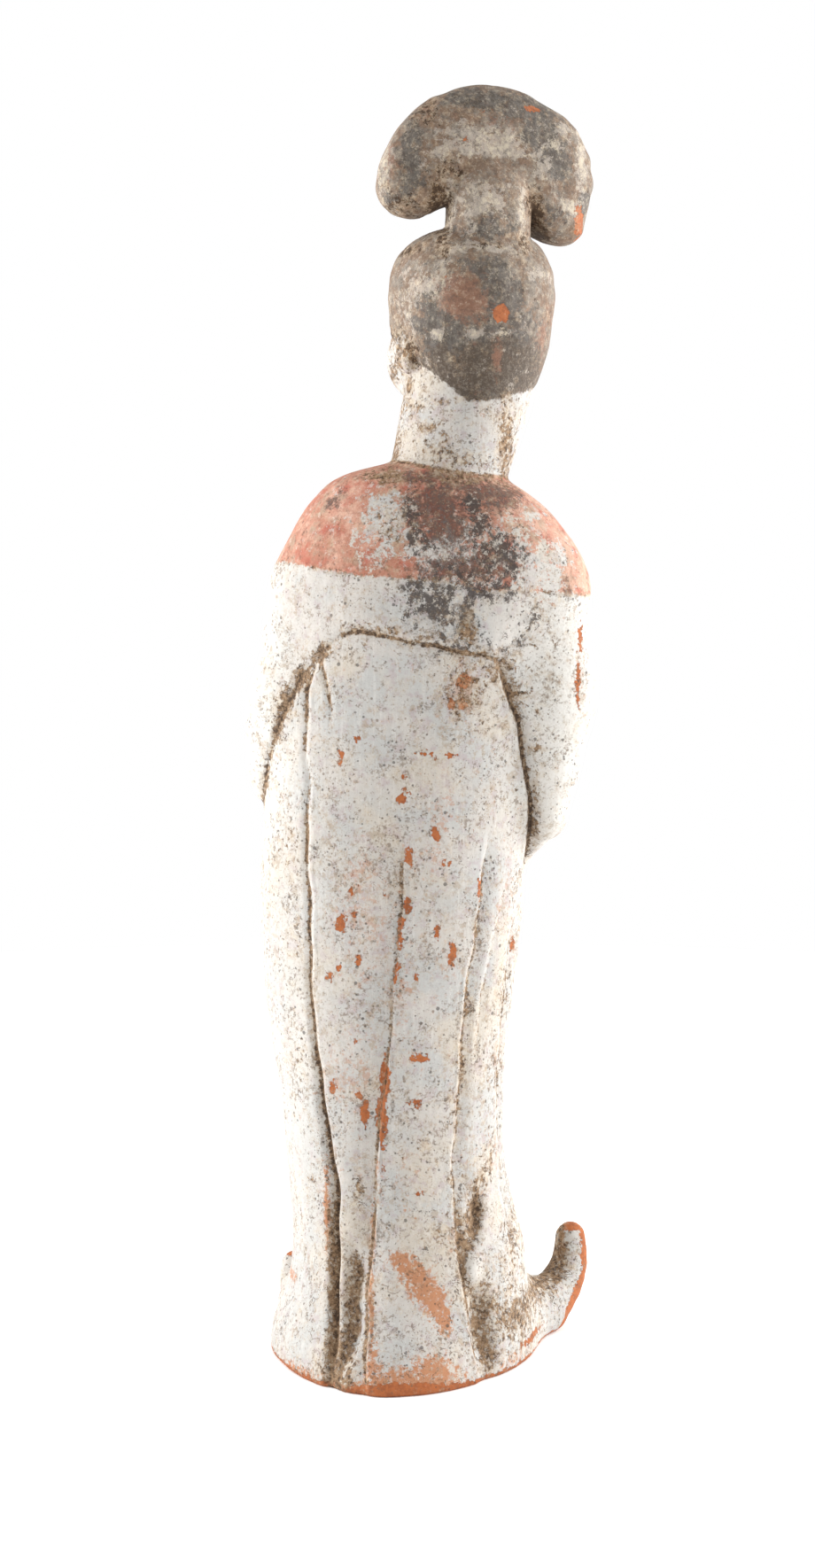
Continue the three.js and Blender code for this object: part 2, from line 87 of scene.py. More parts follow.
# The creases: points of up and across, how deep they are, and how gently the clay falls into them before
# and after, going round her from her left side by her back. The share is the part of the depth that is left
# at the top. A lip is the edge of cloth that stands up beside a crease, before it or after it. The line is
# how strongly the crease is drawn as a sharp line, and the earth is how much of it lies there above the hem.
# A gap is a level, and the half height round it, where the line is filled up.
creases = [
    dict(  # the long fold on the left of her back
        path=[
            [4, -25.6], [11, -24.5], [20, -24], [40, -23.9], [58, -24], [70, -25.6], [95, -29.2],
            [122, -31], [150, -31.8], [180, -31.6], [192, -32.6], [204, -31.6], [211, -30.8], [218, -28.6],
        ],
        depth=3.2, before=1.5, after=1.9, share=0.16, lip=0.4, lip_at=1.8, line=0.8, earth=0.3, gap=[186, 7],
    ),
    dict(  # the hollow beside it over the left heel
        path=[[2, -23], [7, -21.4], [15.6, -18.9], [23, -18.7], [30, -18.2], [38, -17.6]],
        depth=3, before=2.4, after=2.4, share=1, lip=0, lip_at=2, line=0.2, earth=1,
    ),
    dict(  # the step at the edge of the middle panel
        path=[
            [4, -14.6], [17, -14.4], [34, -13.4], [47, -12.1], [69, -10.6], [93, -8.2], [107, -6.4],
            [134, -4.3], [162, -2],
        ],
        depth=2.3, before=5.5, after=0.8, share=0.7, lip=1.2, lip_at=0.9, line=0.35, earth=0.2,
    ),
    dict(  # the long fold on the right of her back
        path=[
            [4, 20.4], [14, 18.8], [22, 17.7], [30, 16.8], [37, 15.2], [50, 13.9], [64, 13.6], [78, 15.2],
            [100, 16], [126, 18.9], [145, 21.6], [161, 24.2],
        ],
        depth=1.9, before=0.9, after=3.6, share=0.5, lip=0.35, lip_at=-1.5, line=0.3, earth=0.35,
    ),
    dict(  # the hollow over the right heel
        path=[[2, 24], [6.5, 23.2], [14, 21.8], [21, 21.2], [28, 20]],
        depth=3.4, before=3, after=4, share=1, lip=0, lip_at=3, line=0.15, earth=1,
    ),
    dict(  # the front fold on her right
        path=[[4, -21], [60, -17], [130, -12]], on_front=True,
        depth=3, before=4.5, after=1.4, share=0.6, lip=0.5, lip_at=1.8, line=0.9, earth=0.4,
    ),
    dict(  # the middle front fold
        path=[[4, -3], [60, -2], [124, -1]], on_front=True,
        depth=2.4, before=1.4, after=4, share=0.6, lip=0.4, lip_at=-1.8, line=0.8, earth=0.3,
    ),
    dict(  # the front fold on her left
        path=[[4, 19], [60, 16], [130, 11]], on_front=True,
        depth=3, before=1.4, after=4.5, share=0.6, lip=0.5, lip_at=-1.8, line=0.9, earth=0.4,
    ),
    dict(  # a short tuck under the waist seam
        path=[[203, -24.2], [210, -25.6], [216, -26.7], [221, -27.2]],
        depth=0.5, before=0.8, after=0.8, share=1, lip=0, lip_at=1.4, line=0.6, earth=0.4,
    ),
    dict(  # the fine fold beside the long right one
        path=[[96, 20.5], [118, 22.5], [140, 28], [150, 30]],
        depth=0.5, before=1.1, after=2.4, share=1, lip=0.1, lip_at=-1.4, line=0.1, earth=0.3,
    ),
    dict(  # the shallow fold on the right flank
        path=[[28, 33], [70, 28.5], [112, 30], [140, 34]],
        depth=0.8, before=2.4, after=2.4, share=1, lip=0, lip_at=2, line=0.2, earth=0.25,
    ),
]
# The grooves along which the sleeves are pressed against the robe, in the same terms
sleeve_grooves = [
    dict(  # under her left sleeve
        path=[
            [168, -46.4], [177, -45.4], [187, -43.5], [196, -41], [200, -39.5], [206, -36.9], [210, -34.7],
            [214, -32.6], [218, -29.5], [221, -26.6], [227, -21],
        ],
        depth=0.55, before=1.4, after=0.9, lip=0.2, lip_at=1.4, line=0.5, earth=0.22,
    ),
    dict(  # beside her right sleeve
        path=[
            [154, 36.8], [160, 37.4], [166, 37.6], [175, 37.6], [183, 36.2], [191, 34.6], [200, 33.2],
            [206, 30.8], [212, 28.6], [219, 26.4],
        ],
        depth=1.9, before=0.8, after=2.7, lip=0.7, lip_at=-1.3, line=0.75, earth=0.3,
    ),
]
crease_end = 12  # a crease fades out over this height at its end
crease_squareness = 2.3  # of the hollow across a crease, where 2 is a soft bell
crease_strays = [(0.35, 7.3), (0.2, 2.9)]  # how far a crease sways from its path, and over what height
hem_height = 12  # a crease that reaches the hem is shallower over this height
hem_share = 0.25  # and has this share of its depth at the ground
cut_width = 0.8
cut_depth = 0.45
lip_width = 0.9
line_reach = [2.2, 3.2]  # a line is drawn in full this far beside it, and not at all further out
near_robe = 2.2  # marks in the creases are drawn up to this far from the robe's own surface

# Burial earth: the folds are full of it up to one height and hold their own amount above another. The waist
# seam and the collar hold an even amount.
hem_earth = dict(full_to=25, own_from=75, amount=0.8)
seam_earth = dict(amount=0.36, width=1.4)
collar_earth = dict(low=255, high=290, amount=0.6, width=1.1)

waist_seam = dict(
    path=[
        [-22, 225.4], [-19, 227], [-15, 227.5], [-7, 226], [1, 224.1], [8, 223.2], [15, 221.2], [22, 220.4],
        [28, 218.6],
    ],
    depth=0.8, soft=0.8, line=0.5,
    overlap=0.6, overlap_rises=[-0.4, 1.4], overlap_ends=[2, 16],  # the bodice stands out above the seam
)

# Hollows and swellings pressed into the back of the skirt: across, up, half width, half height, depth
presses = [
    [19.6, 48.6, 2.2, 5.4, 3],
    [18.4, 42.6, 1.7, 4, 1.2],
    [19, 31.6, 2.6, 4.2, -2],
    [17, 57, 2, 7, 0.8],
    [-12, 40, 3, 14, 0.6],
    [33, 131, 5, 10, 0.7],
]

# Arms and sleeves, her right and then her left: shoulder, elbow and wrist, and the line along which the
# sleeve's cloth ends, from under the elbow to under the wrist. The cloth's radii are at the arm and at that
# line, under the elbow and then under the wrist.
arms = [
    dict(
        shoulder=[-43.4, 2, 240], elbow=[-42.6, 0, 209], wrist=[-9, -39, 215],
        cloth_ends=[[-42.6, 0, 170.6], [-10, -35, 138]], cloth_radii=[[14.6, 8.4], [8.5, 6.5]],
    ),
    dict(
        shoulder=[30, 1, 239], elbow=[34.4, -1, 206], wrist=[5, -39, 215],
        cloth_ends=[[40.4, -2, 184.5], [7, -35, 150]], cloth_radii=[[14.2, 11], [8.5, 6.5]],
    ),
]
shoulder_radius = 14
elbow_radius = 14.6
wrist_radius = 9
swags = dict(count=3, sag=0.2, depth=1.7)  # the folds in which the cloth of the sleeves hangs
# The joined hands under the cloth
clasp = dict(at=[-2, -38, 217], size=[11, 10, 11])

# Her right foot and toe, and then her left: heel and ball, and the curve of the toe with its radii
feet = [([-26, -6, 6], [-40, -22, 7]), ([24, -6, 6], [36, -20, 6])]
foot_radius = 10
toes = [
    dict(path=[[-34, -14, 7], [-43, -24, 8.5], [-49.3, -32, 18], [-49.9, -35, 32]], radii=[9, 8.4, 6.4, 4.6]),
    dict(path=[[30, -14, 6], [38, -24, 7], [41.5, -29, 11], [42, -31, 17]], radii=[8.5, 7.6, 6, 5]),
]

# The neck, and the face in the head's own frame: to her left, to her back, and up from the head's centre
neck = dict(start=[-10.5, 1, 268], end=[-19.1, -3, 303], radii=[17.4, 20.2])
head_centre = [-19, -5, 322]
face = dict(at=[0, -4, -1], size=[20.5, 20, 25])
cheek = dict(at=[10.5, -11, -9], radius=11.5)
chin = dict(at=[0, -15, -19], radius=6.5)
nose = dict(
    bridge_up=1, tip_up=-9, bridge_radius=1.8, tip_radius=2.7, out=1.2, wing_side=2.3, wing_radius=1.7,
)
eye = dict(side=8.2, up=1.5, size=[5, 2.2, 2.4], socket_radius=3.4, brow_up=7.6)
mouth = dict(up=-13.8, size=[4.6, 2, 1.3], parting=[4.2, 1.1, 0.5])
ear = dict(at=[22.4, 0.6, -7.5], size=[2.8, 4.6, 6.6], bowl=[1.3, 2, 3.6])

# The hair round her head: up, half width, reach of the back, reach of the front
hair_sections = [
    [-32, 8, 12, 12],
    [-24, 16.2, 19.6, 19],
    [-15, 21, 23.5, 21],
    [-5, 24, 26, 21.5],
    [6, 25.2, 27.5, 22],
    [16, 25, 26.5, 22.5],
    [22, 23, 24.4, 21],
    [26, 20, 21.8, 19],
    [28.8, 15.6, 17.4, 15],
    [30.6, 10, 11, 9],
    [31.2, 1, 2, 1],
]
hair_roundness = 2.15
combing = dict(depth=0.16, strands=46, slant=0.05)
# It ends at the highest of four edges: over the brow, slanting down behind her left ear, level at the nape,
# and rising again from there to her right
hairline = dict(
    brow_up=-11, brow_slope=1.1, ear_up=-24.4, ear_slope=[0.75, -0.43],
    nape_up=-24, nape_end=3, nape_slope=0.3, soft=1.4,
)
stalk = dict(at=[0, 12, 33.5], size=[12.9, 11.2, 17.2], roundness=2.7)

# The crescent bun. Its outline is given as an angle above level, and the reach on her left and on her right.
bun = dict(
    at=[-3, 6.5, 50], thickness=12.5, roundness=2.4,
    outline=[
        [-90, 10.5, 10.5], [-65, 11.5, 14], [-56, 13, 20], [-50, 15.2, 27.6], [-44, 18, 32.8],
        [-39, 25.2, 35.2], [-34, 30.6, 36.2], [-27, 34.4, 35.2], [-18, 36.8, 34.8], [-8, 36, 34.5],
        [2, 34.4, 33.6], [14, 32, 32.2], [28, 29.8, 29.6], [46, 27.4, 26.6], [66, 25.2, 24.8],
        [90, 24.2, 24.2],
    ],
)

# The line through her middle that the fine surface is drawn round: up, side, depth, spacing across and up
drawing = [
    [-3, 0, 3, 1.1, 1.6],
    [20, 0, 2, 1.1, 1.7],
    [60, 1, 0, 1.06, 1.85],
    [150, 0, -3, 1.06, 1.8],
    [200, -3, -5, 1.1, 1.4],
    [262, -8, -2, 1.06, 1.25],
    [292, -19, 0, 0.95, 1.0],
    [400, -21, -2, 0.92, 1.0],
]
lattice_columns = 120  # across and from front to back, a multiple of 4
# The field is worked out at every 4th point of the lattice, then at every 2nd and at every one. Beside each
# of these steps is how near to the surface a place has to be for the next, finer one.
lattice_steps = [(4, 12.0), (2, 6.0), (1, 0.0)]
far = 99.0

# The unevenness of hand-pressed clay: the size of the lumps, and how high they stand on the robe and the hair
lumps = [(26, 0.35, 0.35), (9, 0.2, 0.4), (4, 0.09, 0.42)]
hair_begins = [312, 325]  # between these heights the clay turns as uneven as the hair
underside_fillet = 1.6
# How far out of the surface, or into it, the clay is felt for, to find places that are sheltered or stand out
feelers = dict(hollow=1.6, deep_hollow=5, crest=-2)
mark_reach = 6  # the edges of paint are known this far to either side


def smooth(value, low, high):
    """From 0 at low to 1 at high, without a bend at either."""
    t = np.clip((value - low) / (high - low), 0, 1)
    return t * t * (3 - 2 * t)


def swell(offset, width):
    """1 at no offset, and falling to nothing over about the given width to either side."""
    return np.exp(-((offset / width) ** 2))


def blend(a, b, fillet):
    """Joins two distances with a fillet of about the given radius, as wet clay is pressed together."""
    overlap = np.maximum(fillet - np.abs(a - b), 0) / fillet
    return np.minimum(a, b) - overlap * overlap * fillet / 4


def carve(a, b, fillet):
    """Keeps what is in both forms, with a fillet at the edge."""
    return -blend(-a, -b, fillet)


def along(table, at):
    """The columns of a table at values of its first column, on a smooth curve through its rows."""
    table = np.asarray(table, float)
    last = len(table) - 1
    x = np.clip(at, table[0, 0], table[last, 0])
    i = np.clip(np.searchsorted(table[:, 0], x, side="right") - 1, 0, last - 1)
    rows = np.arange(last + 1)
    ahead, behind = table[np.minimum(rows + 1, last)], table[np.maximum(rows - 1, 0)]
    slopes = (ahead[:, 1:] - behind[:, 1:]) / (ahead[:, :1] - behind[:, :1])
    step = table[i + 1, 0] - table[i, 0]
    t = (x - table[i, 0]) / step
    square, cube = t * t, t * t * t
    start = 2 * cube - 3 * square + 1
    start_slope = (cube - 2 * square + t) * step
    end_slope = (cube - square) * step
    return [
        start * table[i, c + 1]
        + start_slope * slopes[i, c]
        + (1 - start) * table[i + 1, c + 1]
        + end_slope * slopes[i + 1, c]
        for c in range(table.shape[1] - 1)
    ]


def to_rod(p, start, end, start_radius, end_radius):
    start, end = np.asarray(start, float), np.asarray(end, float)
    axis = end - start
    share = np.clip(np.sum((p - start) * axis, -1) / np.sum(axis * axis, -1), 0, 1)
    nearest = start + share[:, None] * axis
    return np.linalg.norm(p - nearest, axis=1) - (start_radius + (end_radius - start_radius) * share)


def to_ball(p, centre, radius):
    return np.linalg.norm(p - np.asarray(centre, float), axis=1) - radius


def to_ellipsoid(p, centre, size):
    size = np.asarray(size, float)
    q = (p - np.asarray(centre, float)) / size
    reach = np.linalg.norm(q, axis=1)
    steepness = np.maximum(np.linalg.norm(q / size, axis=1), 1e-9)
    return reach * (reach - 1) / steepness


def oval_reach(angle, half_width, depth, roundness):
    wide = np.abs(np.cos(angle) / half_width) ** roundness
    deep = np.abs(np.sin(angle) / depth) ** roundness
    return (wide + deep) ** (-1 / roundness)


def across_back(p):
    """How far across her back a place is, to the right as seen from behind."""
    turn = math.radians(back_turn)
    return -(p[:, 0] * math.cos(turn) + p[:, 1] * math.sin(turn))


def from_middle(across, up, at, level, half_width, half_height):
    """How far a place is from the middle of an oval on her back, where 1 is the oval's edge."""
    return np.hypot((across - at) / half_width, (up - level) / half_height)


def in_frame(p, centre, turn):
    """Coordinates in a frame that is turned about the upright: to her left, to her back, and up."""
    turn = math.radians(turn)
    d = p - np.asarray(centre, float)
    left = d[:, 0] * math.cos(turn) + d[:, 1] * math.sin(turn)
    back = d[:, 1] * math.cos(turn) - d[:, 0] * math.sin(turn)
    return np.stack([left, back, d[:, 2]], 1)


def in_head(p):
    return in_frame(p, head_centre, head_turn)


def only_between(p, low, high, field):
    """A field where a place is between two heights, and far away elsewhere."""
    d = np.full(len(p), far)
    near = (p[:, 2] > low) & (p[:, 2] < high)
    if near.any():
        d[near] = field(p[near])
    return d


def robe_reach(up, angle):
    side, half_width, back, front, roundness = along(robe_sections, up)
    is_back = angle > 0
    return side, oval_reach(
        angle, half_width, np.where(is_back, back, front), np.where(is_back, roundness, front_roundness)
    )


def direction_of(crease, up, across):
    """The direction from the middle of the robe to a point of a crease, found by halving."""
    on_front = crease.get("on_front")
    low = -math.pi if on_front else 0.0
    high = low + math.pi
    for _ in range(20):
        half = (low + high) / 2
        side, reach = robe_reach(np.array([up]), np.array([half]))
        place = np.array([[side[0] + reach[0] * math.cos(half), reach[0] * math.sin(half), up]])
        here = place[0, 0] if on_front else across_back(place)[0]
        if here < across:
            low = half
        else:
            high = half
    return (low + high) / 2


for crease in creases:
    crease["directions"] = [[up, direction_of(crease, up, across)] for up, across in crease["path"]]


def ends_of(fold):
    return fold["path"][0][0], fold["path"][-1][0]


def fade_at(distance):
    """How much of a crease is left at a distance inside its end."""
    return np.clip(distance / crease_end + 0.5, 0, 1)


def crease_offset(crease, up, angle, reach):
    """How far a place is beside a crease, and how much of the crease is left at that height."""
    foot, top = ends_of(crease)
    if foot < hem_height:
        at_foot = hem_share + (1 - hem_share) * smooth(up, 0, hem_height)
    else:
        at_foot = fade_at(up - foot)
    offset = (angle - along(crease["directions"], up)[0]) * reach
    for (sway, over), start in zip(crease_strays, (foot, top)):
        offset = offset + sway * np.sin(up / over + start)
    return offset, fade_at(top - up) * at_foot


def around_robe(p):
    """Places as a height, a direction from the middle of the robe and a reach in that direction."""
    side = along(robe_sections, p[:, 2])[0]
    return p[:, 2], np.arctan2(p[:, 1], p[:, 0] - side), np.hypot(p[:, 0] - side, p[:, 1])


def fold_depth(fold, offset, left):
    """How deep a fold is beside its line, where the given share of its depth is left."""
    soft = np.where(offset < 0, fold["before"], fold["after"]) * (0.6 + 0.4 * left)
    hollow = left * fold["depth"] * np.exp(-(np.abs(offset / soft) ** crease_squareness))
    return hollow + cut_depth * fold["line"] * swell(offset, cut_width)


def crease_depth(crease, up, angle, reach):
    offset, fade = crease_offset(crease, up, angle, reach)
    foot, top = ends_of(crease)
    left = 1 + (crease["share"] - 1) * smooth(up, max(foot, 30), max(foot + 20, 0.6 * top))
    return fade * fold_depth(crease, offset, left)


def groove_offset(groove, p):
    """How far to the right of a sleeve groove a place is, and how much of the groove is left there."""
    up = p[:, 2]
    foot, top = ends_of(groove)
    lean = along(groove["path"], up + 0.5)[0] - along(groove["path"], up - 0.5)[0]
    offset = (across_back(p) - along(groove["path"], up)[0]) / np.hypot(1, lean)
    return offset, fade_at(top - up) * fade_at(up - foot) * smooth(p[:, 1], -12, -4)


def groove_depth(p):
    total = np.zeros(len(p))
    for groove in sleeve_grooves:
        foot, top = ends_of(groove)
        near = (p[:, 2] > foot - crease_end) & (p[:, 2] < top + crease_end)
        offset, fade = groove_offset(groove, p[near])
        total[near] += fade * fold_depth(groove, offset, 1)
    return total


def seam_offset(p):
    """How far above the waist seam a place is, and how much of the seam is left there."""
    path = waist_seam["path"]
    across = across_back(p)
    left = smooth(across, path[0][0] - 3, path[0][0] + 2)
    right = 1 - smooth(across, path[-1][0] - 4, path[-1][0] + 5)
    return p[:, 2] - along(path, across)[0], left * right * (p[:, 1] > 0)


def seam_depth(p):
    offset, strength = seam_offset(p)
    cut = waist_seam["depth"] * swell(offset, waist_seam["soft"])
    rise, end = smooth(offset, *waist_seam["overlap_rises"]), smooth(offset, *waist_seam["overlap_ends"])
    bodice = waist_seam["overlap"] * rise * (1 - end)
    return strength * (cut - bodice)


def press_depth(p):
    across = across_back(p)
    total = np.zeros(len(p))
    for *oval, depth in presses:
        total += depth * swell(from_middle(across, p[:, 2], *oval), 1) * (p[:, 1] > 0)
    return total


def to_robe(p):
    up, angle, reach = around_robe(p)
    wall = reach - robe_reach(up, angle)[1]
    cut = seam_depth(p) + press_depth(p)
    for crease in creases:
        cut += crease_depth(crease, up, angle, reach)
    return np.maximum(wall + cut, up - robe_sections[-1][0])


def to_arm(p, arm):
    """An arm inside its sleeve, and the cloth of the sleeve that hangs below the forearm."""
    shoulder, elbow, wrist = (np.array(arm[name], float) for name in ("shoulder", "elbow", "wrist"))
    upper = to_rod(p, shoulder, elbow, shoulder_radius, elbow_radius)
    lower = to_rod(p, elbow, wrist, elbow_radius, wrist_radius)
    run = (wrist - elbow)[:2]
    t = np.clip((p[:, :2] - elbow[:2]) @ run / (run @ run), 0, 1)[:, None]
    top = elbow + (wrist - elbow) * t
    ends = np.array(arm["cloth_ends"], float)
    end = ends[0] + (ends[1] - ends[0]) * t
    fall = np.clip((top[:, 2] - p[:, 2]) / (top[:, 2] - end[:, 2]), 0, 1)
    bow = 4 * t[:, 0] * (1 - t[:, 0])
    swag = np.cos(2 * math.pi * swags["count"] * (fall - swags["sag"] * bow))
    fullness = smooth(fall, 0.05, 0.3) * bow
    by_elbow, by_wrist = np.array(arm["cloth_radii"], float)
    at_arm, at_end = (by_elbow + (by_wrist - by_elbow) * t).T
    radius = at_arm + (at_end - at_arm) * fall ** 2
    cloth = to_rod(p, top, end, 0, 0) - radius - swags["depth"] * fullness * swag
    return blend(blend(upper, lower, 6), cloth, 8)


def to_sleeves(p):
    sleeves = blend(to_arm(p, arms[0]), to_arm(p, arms[1]), 4)
    return blend(sleeves, to_ellipsoid(p, clasp["at"], clasp["size"]), 6)


def toe_rods(toe):
    """A toe as a chain of short rods along its curve."""
    rows = len(toe["path"])
    curve = [[row / (rows - 1), *toe["path"][row], toe["radii"][row]] for row in range(rows)]
    shares = np.linspace(0, 0.9, 10)
    x, y, z, radius = along(curve, shares)
    return list(zip(np.stack([x, y, z], 1), radius))


def to_feet(p):
    d = np.full(len(p), far)
    for heel, ball in feet:
        d = np.minimum(d, to_rod(p, heel, ball, foot_radius, foot_radius))
    return d


def to_toes(p):
    d = np.full(len(p), far)
    for toe in toes:
        chain = toe_rods(toe)
        for (start, start_radius), (end, end_radius) in zip(chain, chain[1:]):
            d = np.minimum(d, to_rod(p, start, end, start_radius, end_radius))
    return d


def to_neck(p):
    return to_rod(p, neck["start"], neck["end"], *neck["radii"])


def face_depth(side, up):
    """Where the front of the bare face is, at a place beside and above its middle."""
    share = 1 - (side / face["size"][0]) ** 2 - ((up - face["at"][2]) / face["size"][2]) ** 2
    return face["at"][1] - face["size"][1] * math.sqrt(max(share, 0))


def to_face(p):
    q = in_head(p)
    mirrored = np.stack([np.abs(q[:, 0]), q[:, 1], q[:, 2]], 1)
    d = to_ellipsoid(q, face["at"], face["size"])
    d = blend(d, to_ball(mirrored, cheek["at"], cheek["radius"]), 7)
    d = blend(d, to_ball(q, chin["at"], chin["radius"]), 8)
    socket = [eye["side"], face_depth(eye["side"], eye["up"]) - 2.6, eye["up"]]
    d = carve(d, -to_ball(mirrored, socket, eye["socket_radius"]), 3)
    lid = [eye["side"], face_depth(eye["side"], eye["up"]) + 1.1, eye["up"] - 0.4]
    d = blend(d, to_ellipsoid(mirrored, lid, eye["size"]), 1.2)
    bridge = [0, face_depth(0, nose["bridge_up"]) + nose["out"], nose["bridge_up"]]
    tip = [0, face_depth(0, nose["tip_up"]) - nose["out"], nose["tip_up"]]
    d = blend(d, to_rod(q, bridge, tip, nose["bridge_radius"], nose["tip_radius"]), 2.5)
    wing = [nose["wing_side"], tip[1] + 1.6, nose["tip_up"] - 0.4]
    d = blend(d, to_ball(mirrored, wing, nose["wing_radius"]), 1)
    lips = [0, face_depth(0, mouth["up"]) - 0.2, mouth["up"]]
    d = blend(d, to_ellipsoid(q, lips, mouth["size"]), 1.5)
    parting = [0, lips[1] - mouth["size"][1], mouth["up"]]
    d = carve(d, -to_ellipsoid(q, parting, mouth["parting"]), 0.5)
    d = blend(d, to_ellipsoid(mirrored, ear["at"], ear["size"]), 1.5)
    bowl = [ear["at"][0] + ear["size"][0], ear["at"][1] - 0.4, ear["at"][2] + 0.8]
    return carve(d, -to_ellipsoid(mirrored, bowl, ear["bowl"]), 0.8)


def above_hairline(q):
    """How far above the edge of the hair a place is, in the head's frame."""
    left, back, up = q[:, 0], q[:, 1], q[:, 2]
    to_left, to_back = hairline["ear_slope"]
    brow_slope = hairline["brow_slope"]
    over_brow = (up - hairline["brow_up"] + brow_slope * back) / math.hypot(1, brow_slope)
    over_ear = (up - hairline["ear_up"] - to_left * left - to_back * back) / math.hypot(1, to_left, to_back)
    over_nape = up - hairline["nape_up"]
    over_right = over_nape - hairline["nape_slope"] * (hairline["nape_end"] - left)
    return np.minimum.reduce([over_brow, over_ear, over_nape, over_right])


def to_hair(p):
    q = in_head(p)
    half_width, back, front = along(hair_sections, q[:, 2])
    angle = np.arctan2(q[:, 1], q[:, 0])
    reach = oval_reach(angle, half_width, np.where(q[:, 1] > 0, back, front), hair_roundness)
    surface = np.hypot(q[:, 0], q[:, 1]) - reach
    strands = np.sin(angle * combing["strands"] + q[:, 2] * combing["slant"])
    combed = combing["depth"] * strands * smooth(-q[:, 1], -12, 4)
    beyond_ends = np.maximum(q[:, 2] - hair_sections[-1][0], hair_sections[0][0] - q[:, 2])
    return carve(np.maximum(surface + combed, beyond_ends), -above_hairline(q), hairline["soft"])


def true_distance(share, q):
    """Turns a share, which is 1 on a surface, into about the distance to that surface."""
    here = share(q)
    nudge = 0.3
    slopes = [(share(q + nudge * axis) - here) / nudge for axis in np.eye(3)]
    return (here - 1) / np.maximum(np.linalg.norm(slopes, axis=0), 0.01)


def bun_share(q):
    """Under 1 inside the bun and over 1 outside it, in the bun's own frame."""
    reach = np.hypot(q[:, 0], q[:, 2]) + 1e-9
    level = np.degrees(np.arcsin(q[:, 2] / reach))
    to_left, to_right = along(bun["outline"], level)
    wide = reach / np.where(q[:, 0] > 0, to_left, to_right)
    deep = np.abs(q[:, 1]) / bun["thickness"]
    return (wide ** bun["roundness"] + deep ** bun["roundness"]) ** (1 / bun["roundness"])


def stalk_share(q):
    """Under 1 inside the stalk and over 1 outside it, in the head's frame."""
    shares = np.abs((q - stalk["at"]) / stalk["size"])
    return np.sum(shares ** stalk["roundness"], axis=1) ** (1 / stalk["roundness"])


def to_bun(p):
    turn = math.radians(head_turn)
    left, back, up = bun["at"]
    centre = np.array(head_centre, float) + [
        left * math.cos(turn) - back * math.sin(turn),
        left * math.sin(turn) + back * math.cos(turn),
        up,
    ]
    return true_distance(bun_share, in_frame(p, centre, bun_turn))


def to_knot(p):
    """The stalk and the bun."""
    return blend(true_distance(stalk_share, in_head(p)), to_bun(p), 0.8)


# Uneven clay uses random values on a small block of points that repeats.
block_size = 24
random_block = np.random.default_rng(7).random((block_size,) * 3)


def lumpiness(p, size):
    """Smooth random values from 0 to 1 that change over about the given size."""
    place = p / size + 100
    base = np.floor(place).astype(int)
    t = place - base
    t = t * t * (3 - 2 * t)
    total = np.zeros(len(p))
    for corner in np.ndindex(2, 2, 2):
        weight = np.prod(np.where(corner, t, 1 - t), axis=1)
        i, j, k = ((base + corner) % block_size).T
        total += weight * random_block[i, j, k]
    return total


# The forms beside the robe, the heights between which each is worked out, and the fillet where they meet
skin_forms = [
    (to_sleeves, 115, 285, 8),
    (to_feet, -9, 50, 9),
    (to_toes, -9, 60, 2),
    (to_neck, 230, 345, 3),
    (to_face, 275, 400, 3),
]


def to_skin(p):
    """Everything but the hair: robe, sleeves, feet, neck and face."""
    d = to_robe(p)
    for form, low, high, fillet in skin_forms:
        d = blend(d, only_between(p, low, high, form), fillet)
    return d + groove_depth(p)


def to_all_hair(p):
    return blend(only_between(p, 270, 400, to_hair), only_between(p, 325, 420, to_knot), 1.5)


def to_clay(p):
    """The whole figure, with its uneven surface and its flat underside."""
    d = blend(to_skin(p), to_all_hair(p), 1)
    for size, on_robe, on_hair in lumps:
        lump_height = on_robe + (on_hair - on_robe) * smooth(p[:, 2], *hair_begins)
        d = d + lump_height * 2 * (lumpiness(p, size) - 0.5)
    return carve(d, -p[:, 2], underside_fillet)


def lattice_levels():
    """The heights of the lattice's layers, a multiple of 4."""
    levels = [drawing[0][0]]
    while levels[-1] < drawing[-1][0] or len(levels) % 4:
        levels.append(levels[-1] + along(drawing, np.array([levels[-1]]))[3][0])
    return np.array(levels)


levels = lattice_levels()


def lattice_place(index):
    """The places of lattice points, which may lie between whole steps."""
    up = np.interp(index[:, 2], np.arange(len(levels)), levels)
    side, depth, spacing, _ = along(drawing, up)
    middle = (lattice_columns - 1) / 2
    across, along_depth = index[:, 0] - middle, index[:, 1] - middle
    return np.stack([side + spacing * across, depth + spacing * along_depth, up], 1)


def lattice_values():
    """The field on the lattice, worked out finely only near the surface."""
    shape = np.array([lattice_columns, lattice_columns, len(levels)])
    values = np.full(shape // 4, far)
    wanted = np.ones(shape // 4, bool)
    for size, near in lattice_steps:
        index = np.argwhere(wanted)
        values[wanted] = to_clay(lattice_place(index * size + (size - 1) / 2))
        if size > 1:
            wanted &= np.abs(values) < near
            for axis in range(3):
                values = np.repeat(values, 2, axis)
                wanted = np.repeat(wanted, 2, axis)
    return values


